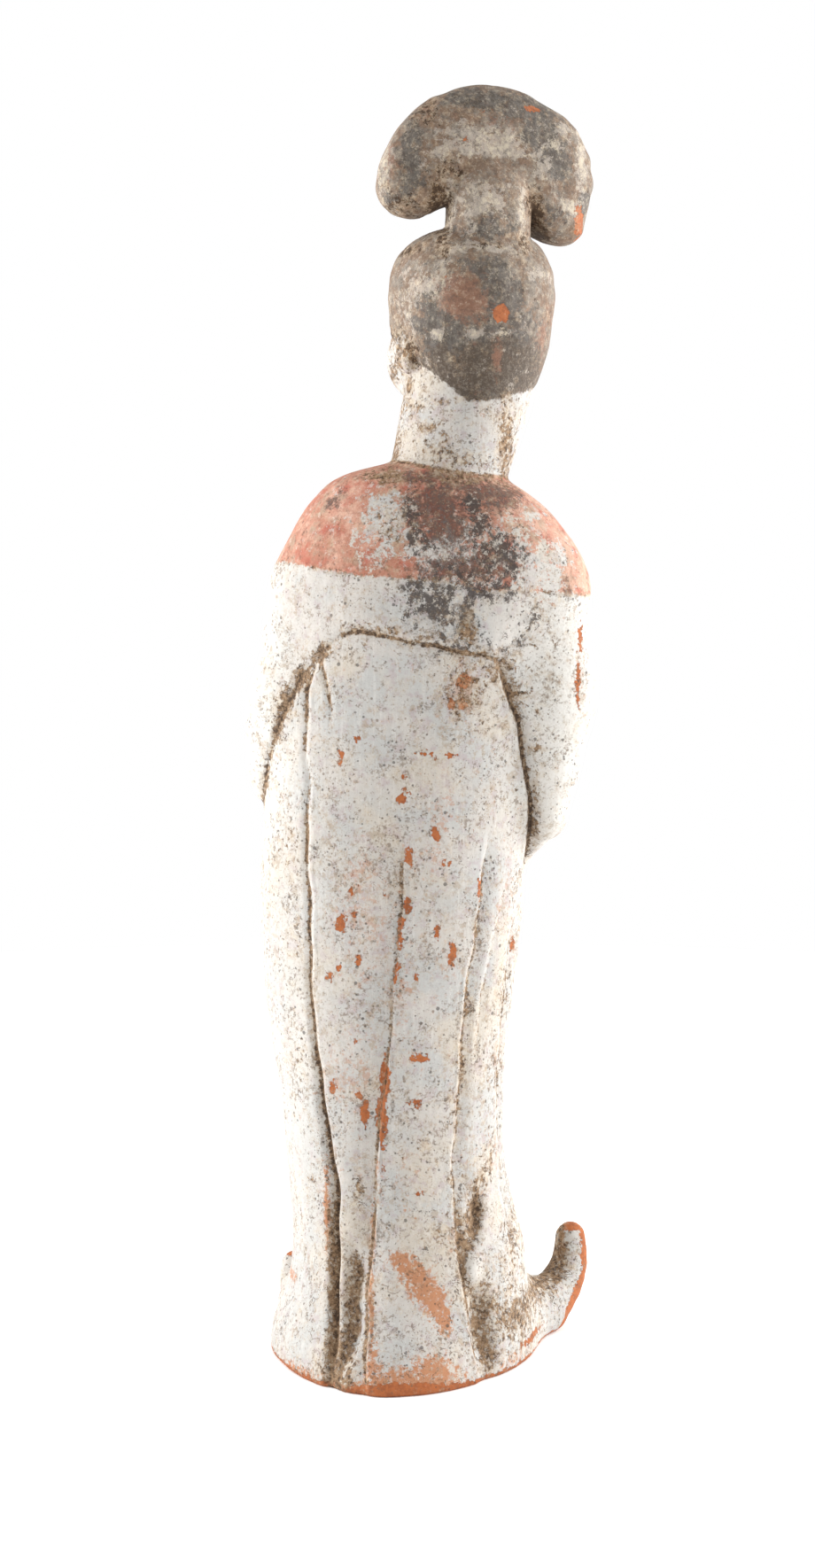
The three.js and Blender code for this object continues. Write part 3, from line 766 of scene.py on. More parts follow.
def draw_surface(values):
    """Faces of four corners on the places where the field changes sign, one corner in each lattice cell."""
    inside = values < 0
    count = np.zeros(np.array(values.shape) - 1, np.int8)
    corners = [np.array(corner) for corner in np.ndindex(2, 2, 2)]
    for a, b, c in corners:
        count += inside[a:, b:, c:][: count.shape[0], : count.shape[1], : count.shape[2]]
    cells = np.argwhere((count > 0) & (count < 8))
    at_corner = [values[tuple((cells + corner).T)] for corner in corners]
    total, crossings = np.zeros((len(cells), 3)), np.zeros(len(cells))
    for a, first in enumerate(corners):
        for b, second in enumerate(corners):
            if b <= a or np.abs(second - first).sum() != 1:
                continue
            crosses = (at_corner[a] < 0) != (at_corner[b] < 0)
            gap = np.where(crosses, at_corner[a] - at_corner[b], 1)
            share = np.where(crosses, at_corner[a] / gap, 0)
            total += crosses[:, None] * (first + share[:, None] * (second - first))
            crossings += crosses
    places = lattice_place(cells + total / crossings[:, None])
    number = np.full(count.shape, -1)
    number[tuple(cells.T)] = np.arange(len(cells))
    quads = []
    for axis in range(3):
        u, v = np.eye(3, dtype=int)[(axis + 1) % 3], np.eye(3, dtype=int)[(axis + 2) % 3]
        changes = np.diff(inside.astype(np.int8), axis=axis)
        for sign in (-1, 1):
            edges = np.argwhere(changes == sign)
            edges = edges[(edges @ u > 0) & (edges @ v > 0) & (edges @ u < inside.shape[(axis + 1) % 3] - 1)
                          & (edges @ v < inside.shape[(axis + 2) % 3] - 1)]
            ring = [edges - u - v, edges - v, edges, edges - u]
            if sign == 1:
                ring.reverse()
            quads.append(np.stack([number[tuple(cell.T)] for cell in ring], 1))
    return places, np.concatenate(quads)


def slopes_at(points, here):
    """How the field changes along each axis."""
    reach = 0.15
    return np.stack([(to_clay(points + reach * axis) - here) / reach for axis in np.eye(3)], 1)


def press_onto_clay(points):
    """Moves points onto the surface and gives the directions that it faces there."""
    longest_move = 0.7
    for _ in range(2):
        here = to_clay(points)
        slopes = slopes_at(points, here)
        move = here / np.maximum(np.sum(slopes * slopes, axis=1), 0.1)
        points = points - np.clip(move, -longest_move, longest_move)[:, None] * slopes
    slopes = slopes_at(points, to_clay(points))
    return points, slopes / np.linalg.norm(slopes, axis=1)[:, None]


points, quads = draw_surface(lattice_values())
points, facing = press_onto_clay(points)
points[:, 2] = np.maximum(points[:, 2], 0)

# Marks on her back and hair: across, up, half width, half height. Worn chips show the bare clay.
chips = [
    [16.1, 212.6, 2.4, 2.4], [12.4, 206, 1.4, 1.6], [15.6, 205.7, 1.4, 2.2], [-21.2, 190.5, 1, 1.2],
    [-21.9, 187.8, 0.8, 1.2], [-16.3, 195, 0.8, 1], [4.1, 190.9, 2, 0.8], [7.3, 189.8, 0.9, 0.8],
    [12.7, 190.4, 1.9, 0.9], [-2.1, 183.9, 0.8, 1.3], [-1.9, 179.4, 1.5, 1], [-3.1, 176.9, 1.5, 1.6],
    [7.3, 166.6, 1.6, 2.3], [-0.8, 159.4, 1.4, 2.6], [10.8, 157.6, 1.4, 1], [-21.2, 138.8, 1.6, 2.8],
    [-17.2, 141.6, 1.6, 1], [-18, 148.9, 0.9, 1.4], [-8, 148.1, 0.9, 1], [-1.3, 144.6, 1.2, 2.4],
    [-2.9, 139.6, 1, 2], [-3.3, 133.9, 1, 3], [-4, 126.3, 0.9, 1.6], [-5, 122, 0.7, 2.2],
    [8.1, 136.8, 0.8, 1.8], [12.7, 129.6, 1.2, 3], [1.6, 122.9, 0.8, 1], [-15.9, 128.4, 0.9, 1.5],
    [-22.1, 125.2, 0.9, 0.9], [-24.8, 122.5, 1.1, 1.5], [21.3, 148.4, 0.7, 3], [32.4, 130, 1, 2],
    [-17.2, 102.7, 0.9, 1], [2.7, 98, 3.4, 1.4], [-7.9, 91, 1.5, 7.4], [-8.9, 79, 1.7, 8],
    [-5.9, 94.4, 1.1, 1], [0.4, 83.6, 3, 0.8], [2, 84, 1.1, 1.8], [-14.1, 81, 1.4, 4],
    [-15.8, 86, 1.2, 1.3], [-23.7, 88.5, 1.2, 1.8], [-8.6, 64.6, 1, 1.4], [2.4, 56.2, 1.4, 0.9],
    [38.5, 6, 4.4, 1.2], [27.3, 323.9, 2.6, 2.8], [38.7, 388.6, 2.8, 0.9], [53.2, 355.5, 1.6, 5],
    [17.2, 377.2, 0.7, 0.7], [52.6, 225.3, 0.8, 4.5], [51.6, 212, 0.8, 6.5],
]
# Soft patches: across, up, half width, half height, and how much of the place is covered
patches = dict(
    worn=[  # where the slip is rubbed off in grains
        [-4, 37.5, 4.4, 3.4, 0.7], [-0.5, 34, 4.4, 4.4, 0.8], [3.4, 29.5, 4.6, 5, 0.88],
        [7.2, 24.5, 4, 5, 0.9], [10, 19.4, 2.6, 4.4, 0.85], [0, 47, 2, 4, 0.3], [-1, 54, 3, 4, 0.3],
        [-2, -2, 19, 7, 1], [0, 6, 12, 5, 0.6], [-12, 8, 3, 7, 0.5], [7, 6, 6, 6, 0.5], [32, 3, 6, 3, 0.5],
        [-24, 0, 7, 3, 0.6], [-12.4, 24, 1.2, 16, 0.8], [-11.6, 46, 0.9, 8, 0.7], [-25.6, 51, 1.3, 8, 0.95],
        [-26, 63, 1, 4, 0.7], [-25.4, 40, 1, 5, 0.7], [-10.2, 64, 0.8, 5, 0.6], [-34, 2, 6, 2.4, 0.7],
        [-37, 25, 2.6, 2, 0.7], [51.5, 27, 2, 9, 0.6], [50, 38, 4, 3, 0.7],
    ],
    soot=[  # where soot lies on the robe, and where the hair's black paint is thickest
        [15, 243, 15, 15, 0.5], [14, 234, 16, 9, 0.4], [26, 228, 16, 7, 0.3], [31, 247, 6, 8, 0.5],
        [12.2, 282.6, 0.9, 1.3, 0.8], [-0.4, 265.6, 2.6, 6, 0.9], [1.6, 258, 3, 4.4, 0.95],
        [3, 253, 3.4, 3, 0.8], [0.8, 240.4, 3.9, 3.3, 0.55], [1.6, 233.7, 4.5, 3.3, 0.5],
        [9.6, 234.5, 6.2, 3.8, 0.6], [16.3, 233.7, 3.9, 2.7, 0.5], [18.6, 267, 3.6, 4, 0.85],
        [20.6, 260, 3.4, 5, 0.9], [25.6, 253.7, 5, 5, 0.9], [32.4, 247, 3, 3.3, 0.5],
        [10, 228.4, 6.7, 3, 0.7], [21.8, 221.2, 7.3, 2, 0.8], [31.4, 224.4, 5.7, 2.2, 0.45],
        [36.8, 231, 2.8, 4, 0.4], [17.6, 240.4, 3.9, 2.2, 0.6], [24.3, 244.4, 5.6, 3.3, 0.5],
        [11.5, 222, 7, 2.4, 0.4], [20, 390.6, 9, 3, 0.95], [33.7, 389, 7.5, 3.8, 1], [43, 380, 5, 7, 1],
        [46, 371, 4.4, 5, 0.9], [39, 380, 4, 5, 0.7], [0.4, 373, 3, 9, 1], [2, 363, 5, 4, 0.6],
        [-5.5, 358, 2.6, 3, 0.9], [55, 362, 2, 3, 0.9], [44.9, 356.5, 5.4, 3, 0.6], [23, 349.6, 8, 3, 0.75],
        [21, 337.6, 8, 3, 0.75], [24.6, 331, 2.8, 6.5, 0.85], [31, 330, 5, 7, 0.6], [5.4, 327, 3, 7, 0.6],
        [15, 319, 12, 5, 0.92], [34, 322, 6, 6, 0.5],
    ],
    nape=[  # the even black of the lower hair
        [18, 305, 19, 11, 1], [33, 311, 9, 9, 0.8], [6, 312, 6, 6, 0.8],
    ],
    brown=[  # brown crust on the yoke and the hair
        [7, 267, 8, 7.6, 1], [11, 260, 7, 5, 0.95], [14.9, 247, 15, 4, 0.85], [21, 270.6, 9, 3.4, 0.95],
        [25, 266, 6, 4, 0.6], [48, 241, 1.6, 4, 0.8], [-32, 258, 3, 2, 0.4], [30.4, 269, 5, 3.4, 0.8],
        [28, 248, 7, 4, 0.8], [9.6, 244.3, 6, 2.8, 0.6], [-23.4, 267.4, 2.6, 2.4, 0.8],
        [-21, 271, 2, 2, 0.6], [6, 275, 16, 2, 0.85], [13, 256, 12, 8, 0.45], [24, 238, 7, 3, 0.5],
        [7, 360, 4.6, 6.6, 1], [38.6, 357.4, 3.8, 6, 1], [22.4, 369, 13, 2.6, 0.8], [2.2, 315.2, 3, 4, 0.7],
        [-2, 356, 6, 4, 0.5], [6, 386, 5, 4, 0.7], [13, 371, 8, 4, 0.4], [-1, 330, 3, 8, 0.5],
        [1, 343, 4, 3, 0.7],
    ],
    pale=[  # where the pink or the black is rubbed off to the slip
        [-6.4, 261.5, 6.4, 11, 0.8], [-13, 262, 4, 5, 0.4], [37.2, 263.7, 5, 2.6, 0.6],
        [4.3, 237.7, 2.4, 1.8, 0.5], [6, 251, 8, 5, 0.6], [20, 247, 18, 14, 0.4], [38, 247, 8, 7, 0.6],
        [-14, 250, 4, 4, 0.45], [14, 254, 7, 5, 0.45], [31, 257, 6, 5, 0.5], [-7.6, 368, 2.4, 9, 0.9],
        [54, 373, 2.2, 9, 0.9], [51, 359.5, 3.6, 3, 0.9], [24, 379, 13, 4, 0.7], [30, 374.6, 10, 3, 0.75],
        [13, 372.6, 10, 3, 0.65], [42, 251, 9, 4, 0.6], [43, 244, 3, 7, 0.7], [36, 242, 5, 4, 0.6],
        [48, 239, 2, 4, 0.6], [-16, 256, 3, 2, 0.4], [45.6, 377.6, 3, 2, 0.8], [49, 383, 4, 2.4, 0.7],
        [41.5, 369, 3.4, 4, 0.5], [22.4, 358, 9, 6, 0.75], [18, 348, 6, 3, 0.4], [6, 333, 6, 4, 0.5],
        [11.6, 354, 1.6, 9, 0.9], [34.6, 355, 1.4, 9, 0.85], [23.5, 343.6, 12, 1.5, 0.9],
        [9.5, 333.5, 5, 3, 0.7], [10, 339, 5, 1.8, 0.7], [39.5, 337, 4, 2, 0.7], [8.4, 318, 2.6, 2, 0.85],
        [19, 317.5, 3, 2, 0.85], [29, 318.4, 3, 1.8, 0.6], [-0.8, 328, 4, 10, 0.45], [28, 325, 4, 2, 0.5],
    ],
    clean=[  # where no soot or earth has settled
        [25.5, 230.4, 5, 5, 1], [18.8, 32, 2.2, 3.6, 1], [37, 220.4, 2, 2, 0.8], [-9, 215, 7.3, 3.8, 0.6],
        [37.2, 263.7, 4, 2.2, 0.6],
    ],
    thin=[  # where the slip is thin and lets the clay through
        [15.5, 210, 4.6, 7, 0.9], [8, 172, 2.6, 7, 0.6], [7.4, 160, 3, 5, 0.6], [11.6, 174, 2, 5, 0.5],
        [-14.7, 157, 4, 5, 0.4], [0.6, 158, 3, 5, 0.5], [-14, 140, 12, 18, 0.45], [-18, 94, 9, 14, 0.45],
        [-4, 118, 6, 20, 0.3], [12, 120, 8, 18, 0.25], [17.6, 212, 3, 8, 0.6], [52, 215, 3, 16, 0.4],
        [31, 150, 3, 14, 0.4], [12, 129, 3, 6, 0.4], [2, 98, 5, 4, 0.4], [-22, 88, 4, 5, 0.45],
        [-14, 82, 3, 7, 0.4], [28, 140, 2, 8, 0.4], [33, 128, 2, 6, 0.5], [-11.4, 40, 2, 16, 0.4],
        [12, 42, 2.4, 8, 0.5], [-3, 62, 5, 8, 0.3], [26, 66, 4, 12, 0.35], [30, 96, 3, 10, 0.4],
    ],
    painted_light=[  # painted light: whiter slip on her flanks, where the side lamps fall, and on the swelling low on her back
        [18.8, 32, 2.2, 3.4, 0.8], [46, 216, 13, 32, 0.9], [43, 176, 9, 22, 0.7], [-45, 205, 9, 50, 0.7],
        [-33, 110, 8, 60, 0.4], [36, 60, 7, 60, 0.4],
    ],
    pale_pink=[  # where the pink is faded
        [-46, 252, 9, 12, 0.7], [52, 250, 15, 14, 1], [-24, 262, 10, 7, 0.3], [34, 264, 8, 5, 0.5],
    ],
    rust=[  # where the clay shows rusty through the black
        [15.4, 329.6, 6, 6.4, 1.1], [18, 326, 6, 5, 0.9], [26.6, 311, 1.6, 5.4, 0.85],
        [41, 318, 2.4, 6, 0.6], [5.6, 386, 4, 5, 0.5], [44, 326, 3, 7, 0.4], [-6, 372, 3, 6, 0.5],
        [26, 383, 9, 2.5, 0.4],
    ],
)
# Burial earth outside the folds, in the same terms
earth_patches = [
    [-26.2, 221, 2.9, 2.8, 0.75], [-29.2, 219.9, 2.3, 2.2, 0.7], [-33, 214.4, 2.2, 3.4, 0.8],
    [-38.4, 208, 2.2, 2.6, 0.85], [-40.2, 204.6, 2.2, 2.6, 0.8], [-40.8, 197, 1.6, 3, 0.8],
    [-14.6, 223.9, 1.7, 1.1, 0.55], [2.2, 215, 1.7, 1.4, 0.5], [30.8, 209, 1.8, 2.6, 0.75],
    [35.8, 208.8, 2.4, 1.8, 0.6], [38.5, 203.6, 1.4, 1.7, 0.6], [38.6, 191.9, 3, 0.9, 0.9],
    [39.2, 178, 1.4, 7, 0.5], [39, 167, 1.8, 4, 0.65], [-17, 229, 4, 1.8, 0.6], [-7.5, 228, 6, 2, 0.55],
    [4.3, 225.6, 8, 2, 0.5], [17, 209, 6, 9, 0.5], [27, 216, 7, 6, 0.55], [33, 204, 2.4, 5, 0.4],
    [40, 225, 7, 12, 0.2], [-33.6, 212, 2.4, 3, 0.8], [-37.4, 206, 2.4, 5, 0.75], [-40.6, 199, 2, 4, 0.7],
    [-44.4, 182, 1.4, 6, 0.6], [-7, 213, 9, 1, 0.35], [-38, 165, 4, 12, 0.3], [-24, 30, 1.7, 26, 0.85],
    [-23.6, 9, 3.6, 6, 0.95], [-18.6, 22, 2, 12, 0.85], [-20.6, 10, 2.6, 5, 0.9], [-22.6, 3, 4, 3, 0.9],
    [16.4, 38, 1.6, 6, 0.7], [17.8, 28, 2, 6, 0.65], [21, 16, 4, 8, 0.9], [23.4, 7, 3.4, 5, 0.85],
    [26.4, 19.9, 3.2, 4, 0.6], [30.7, 15, 4.2, 4, 0.45], [19.6, 49, 2.6, 6, 1], [18, 42.4, 2, 4, 0.9],
    [15.4, 36, 1.8, 7, 0.8], [22.6, 28, 2, 4, 0.5], [20.2, 56, 1.4, 3, 0.6], [-15.9, 56.4, 2, 5, 0.6],
    [14, 46.2, 1.8, 7, 0.65], [12.7, 60, 1.7, 5.6, 0.5], [22.7, 58.4, 2, 4, 0.5],
    [-30.4, 58, 1.6, 1.4, 0.7], [49.8, 22, 3.4, 7, 1], [44, 17.4, 6, 3.4, 1], [51, 29, 2.4, 5, 0.9],
    [34, 16, 4, 5, 0.6], [-12, 26, 2, 12, 0.4], [27, 92, 3.5, 9, 0.45], [25, 66, 3, 9, 0.4],
    [30, 118, 3.5, 8, 0.35], [33, 40, 3, 9, 0.35], [-35, 135, 3, 9, 0.35], [-34, 96, 3, 10, 0.3],
    [8, 44, 6, 6, 0.35], [4, 71, 4, 4, 0.25], [20.4, 137, 1.8, 6, 0.6], [17.4, 113.4, 2, 6, 0.6],
    [16.2, 93, 1.8, 7, 0.6], [13.4, 81, 2, 6, 0.55], [29.6, 111, 3, 6, 0.3], [17.6, 227.6, 3.6, 5, 0.9],
    [14.6, 211, 5.6, 9, 0.26], [32, 30, 8, 16, 0.3], [36, 12, 8, 8, 0.4], [-6, 261, 6, 10, 0.42],
    [33, 262, 6, 5, 0.35], [-8, 275, 7, 2.4, 0.8], [16, 274, 14, 1.6, 0.7], [-5, 287, 2.8, 10, 0.9],
    [30, 285, 3, 12, 0.95], [6, 290, 4, 2, 0.7], [-8, 300, 3, 7, 0.6], [2, 296, 5, 2, 0.5],
    [8, 284, 6, 4, 0.5], [18, 280, 10, 3, 0.4], [0, 314, 3, 3.4, 0.85], [0.4, 303.3, 1.1, 2.6, 1],
    [-5.6, 306, 1.8, 3, 0.9], [-3.4, 310.4, 2, 3, 0.7], [12, 298, 10, 1.4, 0.4], [-2, 299, 3, 4, 0.5],
    [8.3, 360, 3.2, 6, 0.95], [39, 358, 3, 4.4, 0.95], [12, 368, 4, 3, 0.6], [-4, 357.6, 6, 2.4, 0.6],
    [5, 386, 5, 6, 0.5], [0, 345, 6, 2, 0.7], [10.4, 347, 2, 8, 0.7], [35, 345, 2, 6, 0.6],
    [22, 344, 10, 1.4, 0.5], [-4, 320, 3, 4, 0.6],
]
# Bare clay along the sole, which rises at her back, along the outer edge of the right toe (up, to her left),
# and at the tips of both toes (centre, radius)
sole = dict(up=1.6, rise=2.6, across=-4, half_width=15)
toe_edge = [[3, -48.4], [8.5, -51.6], [18, -55.7], [34, -54.6]]
toe_edge_width = 1.8
toe_caps = [([-50.6, -32.5, 34.2], 4.6), ([41.8, -30, 21], 3.6)]
# The lower edge of the pink yoke: across, up
yoke_edge = [
    [-39, 249.5], [-29, 247], [-15.5, 244.5], [-2, 243.5], [11.5, 243], [20.5, 239.8], [34, 240], [51, 239],
]
yoke_top = 300  # it ends where the neck begins, and at this height at the latest


def inside_marks(p, marks):
    """How far inside the nearest mark a place on her back is, in parts."""
    across, up = across_back(p), p[:, 2]
    depth = np.full(len(p), -far)
    for oval in marks:
        depth = np.maximum(depth, (1 - from_middle(across, up, *oval)) * min(oval[2:]))
    return np.where(p[:, 1] > -12, depth, -far)


def patchiness(p, soft_patches):
    """From 0 to 1 over soft patches, as seen from behind."""
    across, up = across_back(p), p[:, 2]
    bare = np.ones(len(p))
    for *oval, amount in soft_patches:
        bare *= 1 - amount * swell(from_middle(across, up, *oval), 1)
    return 1 - bare


def worn_edges(p):
    """How far inside the worn clay at the hem and the toes a place is, in parts."""
    rise = sole["rise"] * swell(across_back(p) - sole["across"], sole["half_width"]) * (p[:, 1] > 0)
    under = sole["up"] + rise - p[:, 2]
    beside = toe_edge_width - np.abs(p[:, 0] - np.interp(p[:, 2], *np.array(toe_edge).T))
    at_toe = np.where((p[:, 1] < -18) & (p[:, 2] < 40) & (p[:, 0] < -44), beside, -far)
    return np.maximum.reduce([under, at_toe, *(-to_ball(p, at, radius) for at, radius in toe_caps)])


def folds_at(p):
    """Each fold, how far beside it the places are, and how much of it is left there."""
    up, angle, reach = around_robe(p)
    on_robe = np.abs(to_robe(p)) < near_robe
    for crease in creases:
        offset, fade = crease_offset(crease, up, angle, reach)
        yield crease, offset, fade * on_robe
    for groove in sleeve_grooves:
        yield groove, *groove_offset(groove, p)


def earth_in_folds(p):
    """How much burial earth lies in the folds, from 0 to 1."""
    up, most_earth = p[:, 2], hem_earth["amount"]
    near_hem = 1 - smooth(up, hem_earth["full_to"], hem_earth["own_from"])
    total = most_earth * np.clip(press_depth(p) / 2, 0, 1)
    for fold, offset, fade in folds_at(p):
        wanted = fold["earth"] + (most_earth - fold["earth"]) * near_hem * min(1, fold["depth"] / 3)
        deep = near_hem * max(0, fold["depth"] - 1.4) / 1.8
        width = 0.7 + 1.3 * deep + 0.2 * np.sin(up / 3.1 + fold["depth"])
        total = np.maximum(total, wanted * np.clip(fade * 1.2, 0, 1) ** 2 * swell(offset, width))
    offset, strength = seam_offset(p)
    total = np.maximum(total, seam_earth["amount"] * strength * swell(offset - 0.4, seam_earth["width"]))
    low, high = collar_earth["low"], collar_earth["high"]
    beside = only_between(p, low, high, to_neck) - to_robe(p)
    in_collar = swell(beside, collar_earth["width"]) * (up > low) * (up < high)
    return np.maximum(total, collar_earth["amount"] * in_collar)


def fine_lines(p):
    """How far beside the nearest fold or seam a place is, how strong that line is, and how high the lip of
    cloth beside it stands, for what is drawn finer than the faces."""
    offset, strength = seam_offset(p)
    offsets, strengths, lips = [offset], [waist_seam["line"] * strength], [np.zeros(len(p))]
    for fold, offset, fade in folds_at(p):
        worn = 0.6 + 0.35 * np.sin(p[:, 2] / 4.1 + len(offsets)) + 0.3 * np.sin(p[:, 2] / 1.7)
        if "gap" in fold:
            level, half_height = fold["gap"]
            fade = fade * (1 - np.exp(-(((p[:, 2] - level) / half_height) ** 4)))
        offsets.append(offset)
        strengths.append(fade * fold["line"])
        lips.append(fade * fold["lip"] * worn * swell(offset - fold["lip_at"], lip_width))
    offsets, strengths = np.array(offsets), np.array(strengths)
    nearest = np.argmin(np.abs(offsets) + 3 * (1 - strengths), axis=0)
    pick = nearest, np.arange(len(p))
    close = 1 - smooth(np.abs(offsets[pick]), *line_reach)
    return offsets[pick] * close, strengths[pick] * close, np.max(lips, axis=0)


def record(mesh, name, values):
    """Keeps a value for each corner of the mesh, for the paint to read."""
    values = np.clip(values, -mark_reach, mark_reach).astype(np.float32)
    mesh.attributes.new(name, "FLOAT", "POINT").data.foreach_set("value", values)


def make_attendant():
    """The figure as a mesh that carries what its paint needs."""
    mesh = bpy.data.meshes.new("attendant")
    mesh.from_pydata((points * part).tolist(), [], quads.tolist())
    mesh.shade_smooth()
    attendant = bpy.data.objects.new("painted_attendant", mesh)
    bpy.context.scene.collection.objects.link(attendant)
    q = in_head(points)
    skin, hair = to_skin(points), to_all_hair(points)
    painted_nape = np.minimum(above_hairline(q), hairline["brow_up"] - q[:, 2])
    record(mesh, "hair", np.maximum(skin - hair, painted_nape))
    above_edge = points[:, 2] - np.interp(across_back(points), *np.array(yoke_edge).T)
    under_collar = only_between(points, 230, 400, to_neck) - to_robe(points) + 1
    record(mesh, "yoke", np.minimum.reduce([above_edge, under_collar, yoke_top - points[:, 2]]))
    record(mesh, "chip", np.maximum(inside_marks(points, chips), worn_edges(points)))
    turn = math.radians(back_turn)
    seen = smooth(facing @ [-math.sin(turn), math.cos(turn), 0], -0.25, 0.1)
    for name, soft_patches in patches.items():
        record(mesh, name, patchiness(points, soft_patches) * seen)
    record(mesh, "earth", np.maximum(earth_in_folds(points), patchiness(points, earth_patches) * seen))
    for name, values in zip(("line_offset", "line_strength", "lip"), fine_lines(points)):
        record(mesh, name, values)
    for name, out in feelers.items():
        record(mesh, name, np.clip(1 - to_clay(points + out * facing) / out, 0, 1))
    on_face = (q[:, 1] < 0) & (points[:, 2] > 290)
    mesh.attributes.new("face", "FLOAT_VECTOR", "POINT").data.foreach_set(
        "vector", np.where(on_face[:, None], q, far).astype(np.float32).ravel()
    )
    return attendant


attendant = make_attendant()


def srgb(red, green, blue):
    """A colour from its red, green and blue on screen, from 0 to 255."""
    return [*(((v / 255 + 0.055) / 1.055) ** 2.4 if v > 10 else v / 3295 for v in (red, green, blue)), 1]


colours = dict(
    clay=srgb(158, 92, 54),
    clay_dark=srgb(140, 80, 48),
    slip=srgb(178, 173, 167),
    slip_cool=srgb(169, 168, 165),
    slip_warm=srgb(179, 171, 160),
    slip_bright=srgb(200, 197, 191),
    lilac=srgb(160, 146, 147),
    stain=srgb(150, 135, 116),
    speck_brown=srgb(98, 80, 64),
    speck_dark=srgb(66, 61, 58),
    pink=srgb(162, 113, 94),
    pink_red=srgb(158, 86, 71),
    pink_pale=srgb(190, 152, 133),
    hair_dark=srgb(68, 61, 55),
    hair_grey=srgb(122, 112, 101),
    hair_pale=srgb(161, 151, 140),
    hair_brown=srgb(112, 90, 73),
    hair_cream=srgb(184, 172, 151),
    hair_slate=srgb(90, 85, 80),
    hair_nape=srgb(68, 57, 47),
    hair_rust=srgb(124, 88, 70),
    soot=srgb(63, 56, 53),
    maroon=srgb(84, 60, 51),
    maroon_red=srgb(116, 74, 60),
    earth=srgb(138, 110, 82),
    earth_dark=srgb(66, 49, 35),
    earth_pale=srgb(184, 168, 144),
    worn_clay=srgb(164, 116, 86),
    lips=srgb(158, 66, 54),
    ink=srgb(58, 50, 46),
)

pottery = bpy.data.materials.new("painted pottery")
pottery.use_nodes = True
pottery.node_tree.nodes.clear()


class Value:
    """What a node of the pottery gives at each place: a number, which can be reckoned with, or a colour."""

    def __init__(self, node, output=0):
        self.socket = node.outputs[output]

    def __add__(self, other):
        return maths("ADD", self, other)

    def __sub__(self, other):
        return maths("SUBTRACT", self, other)

    def __rsub__(self, other):
        return maths("SUBTRACT", other, self)

    def __mul__(self, other):
        return maths("MULTIPLY", self, other)


def add_node(kind, inputs, **settings):
    """A node of the pottery, whose inputs are numbers, colours or values."""
    made = pottery.node_tree.nodes.new(kind)
    for name, setting in settings.items():
        setattr(made, name, setting)
    for name, value in inputs.items():
        if isinstance(value, Value):
            pottery.node_tree.links.new(value.socket, made.inputs[name])
        else:
            made.inputs[name].default_value = value
    return made


def maths(operation, a, b=0.0):
    return Value(add_node("ShaderNodeMath", {0: a, 1: b}, operation=operation))


def size_of(value):
    return maths("ABSOLUTE", value)


def most(first, *others):
    for other in others:
        first = maths("MAXIMUM", first, other)
    return first


def step(value, low, high):
    """From 0 at low to 1 at high, smoothly."""
    inputs = {"Value": value, "From Min": low, "From Max": high}
    return Value(add_node("ShaderNodeMapRange", inputs, interpolation_type="SMOOTHSTEP"))


def mark(name):
    """The values that the mesh carries under a name."""
    return Value(add_node("ShaderNodeAttribute", {}, attribute_name=name), "Fac")


def move(operation, vector, by):
    """Coordinates added to or multiplied by three numbers, or by the colour of noise."""
    return Value(add_node("ShaderNodeVectorMath", {0: vector, 1: by}, operation=operation))


def shifted(vector, shift):
    """The same coordinates moved along, so that two patterns of one size differ."""
    return move("ADD", vector, (17.3 * shift, 5.1 * shift, 9.7 * shift))


in_metres = Value(add_node("ShaderNodeTexCoord", {}), "Object")
in_parts = move("MULTIPLY", in_metres, (1 / part, 1 / part, 1 / part))
upright = move("MULTIPLY", in_parts, (1, 1, 0.06))  # a pattern in it runs up and down


def cloudy(size, detail=3.0, roughness=0.55, vector=in_parts, shift=0.0):
    """Noise whose patches are about the given size, in parts."""
    inputs = {"Vector": shifted(vector, shift), "Scale": 1 / size, "Detail": detail, "Roughness": roughness}
    return Value(add_node("ShaderNodeTexNoise", inputs))


def strong(noise, gain):
    """Noise that departs further from its middle, which stays at a half."""
    return noise * gain + (0.5 - 0.5 * gain)


def grainy(amount, size=2.2, shift=0.0, edge=0.05):
    """Ragged coverage: everywhere where the amount is 1, nowhere where it is 0, and grains in between."""
    return step(strong(cloudy(size, 9, 0.8, shift=shift), 3.4) + amount, 1 - edge, 1 + edge)


def dots(spacing, radius, chance, shift=0.0):
    """Round dots, of which only a share of the cells has one."""
    cells = add_node("ShaderNodeTexVoronoi", {"Vector": shifted(in_parts, shift), "Scale": 1 / spacing})
    lots = add_node("ShaderNodeSeparateColor", {0: Value(cells, "Color")})
    wide = Value(lots, 1) * (radius / spacing)
    return maths("LESS_THAN", Value(lots, 0), chance) * maths("LESS_THAN", Value(cells, "Distance"), wide)


def cracks(spacing, width):
    """Fine broken lines, about the given distance apart."""
    wavy = Value(add_node("ShaderNodeTexNoise", {"Vector": in_parts, "Scale": 0.7}), "Color")
    bent = move("ADD", move("MULTIPLY", in_parts, (1, 1, 1.6)), wavy)
    inputs = {"Vector": bent, "Scale": 1 / spacing}
    cells = add_node("ShaderNodeTexVoronoi", inputs, feature="DISTANCE_TO_EDGE")
    near = step(Value(cells, "Distance"), width / spacing, 0.4 * width / spacing)
    return near * step(cloudy(2.6), 0.58, 0.62)


def layered(colour, *coats):
    """A colour with coats laid over it in turn, each a colour or its name and the share that it covers."""
    for upper, share in coats:
        under, upper = [colours[named] if isinstance(named, str) else named for named in (colour, upper)]
        colour = Value(add_node("ShaderNodeMix", {0: share, 6: under, 7: upper}, data_type="RGBA"), 2)
    return colour


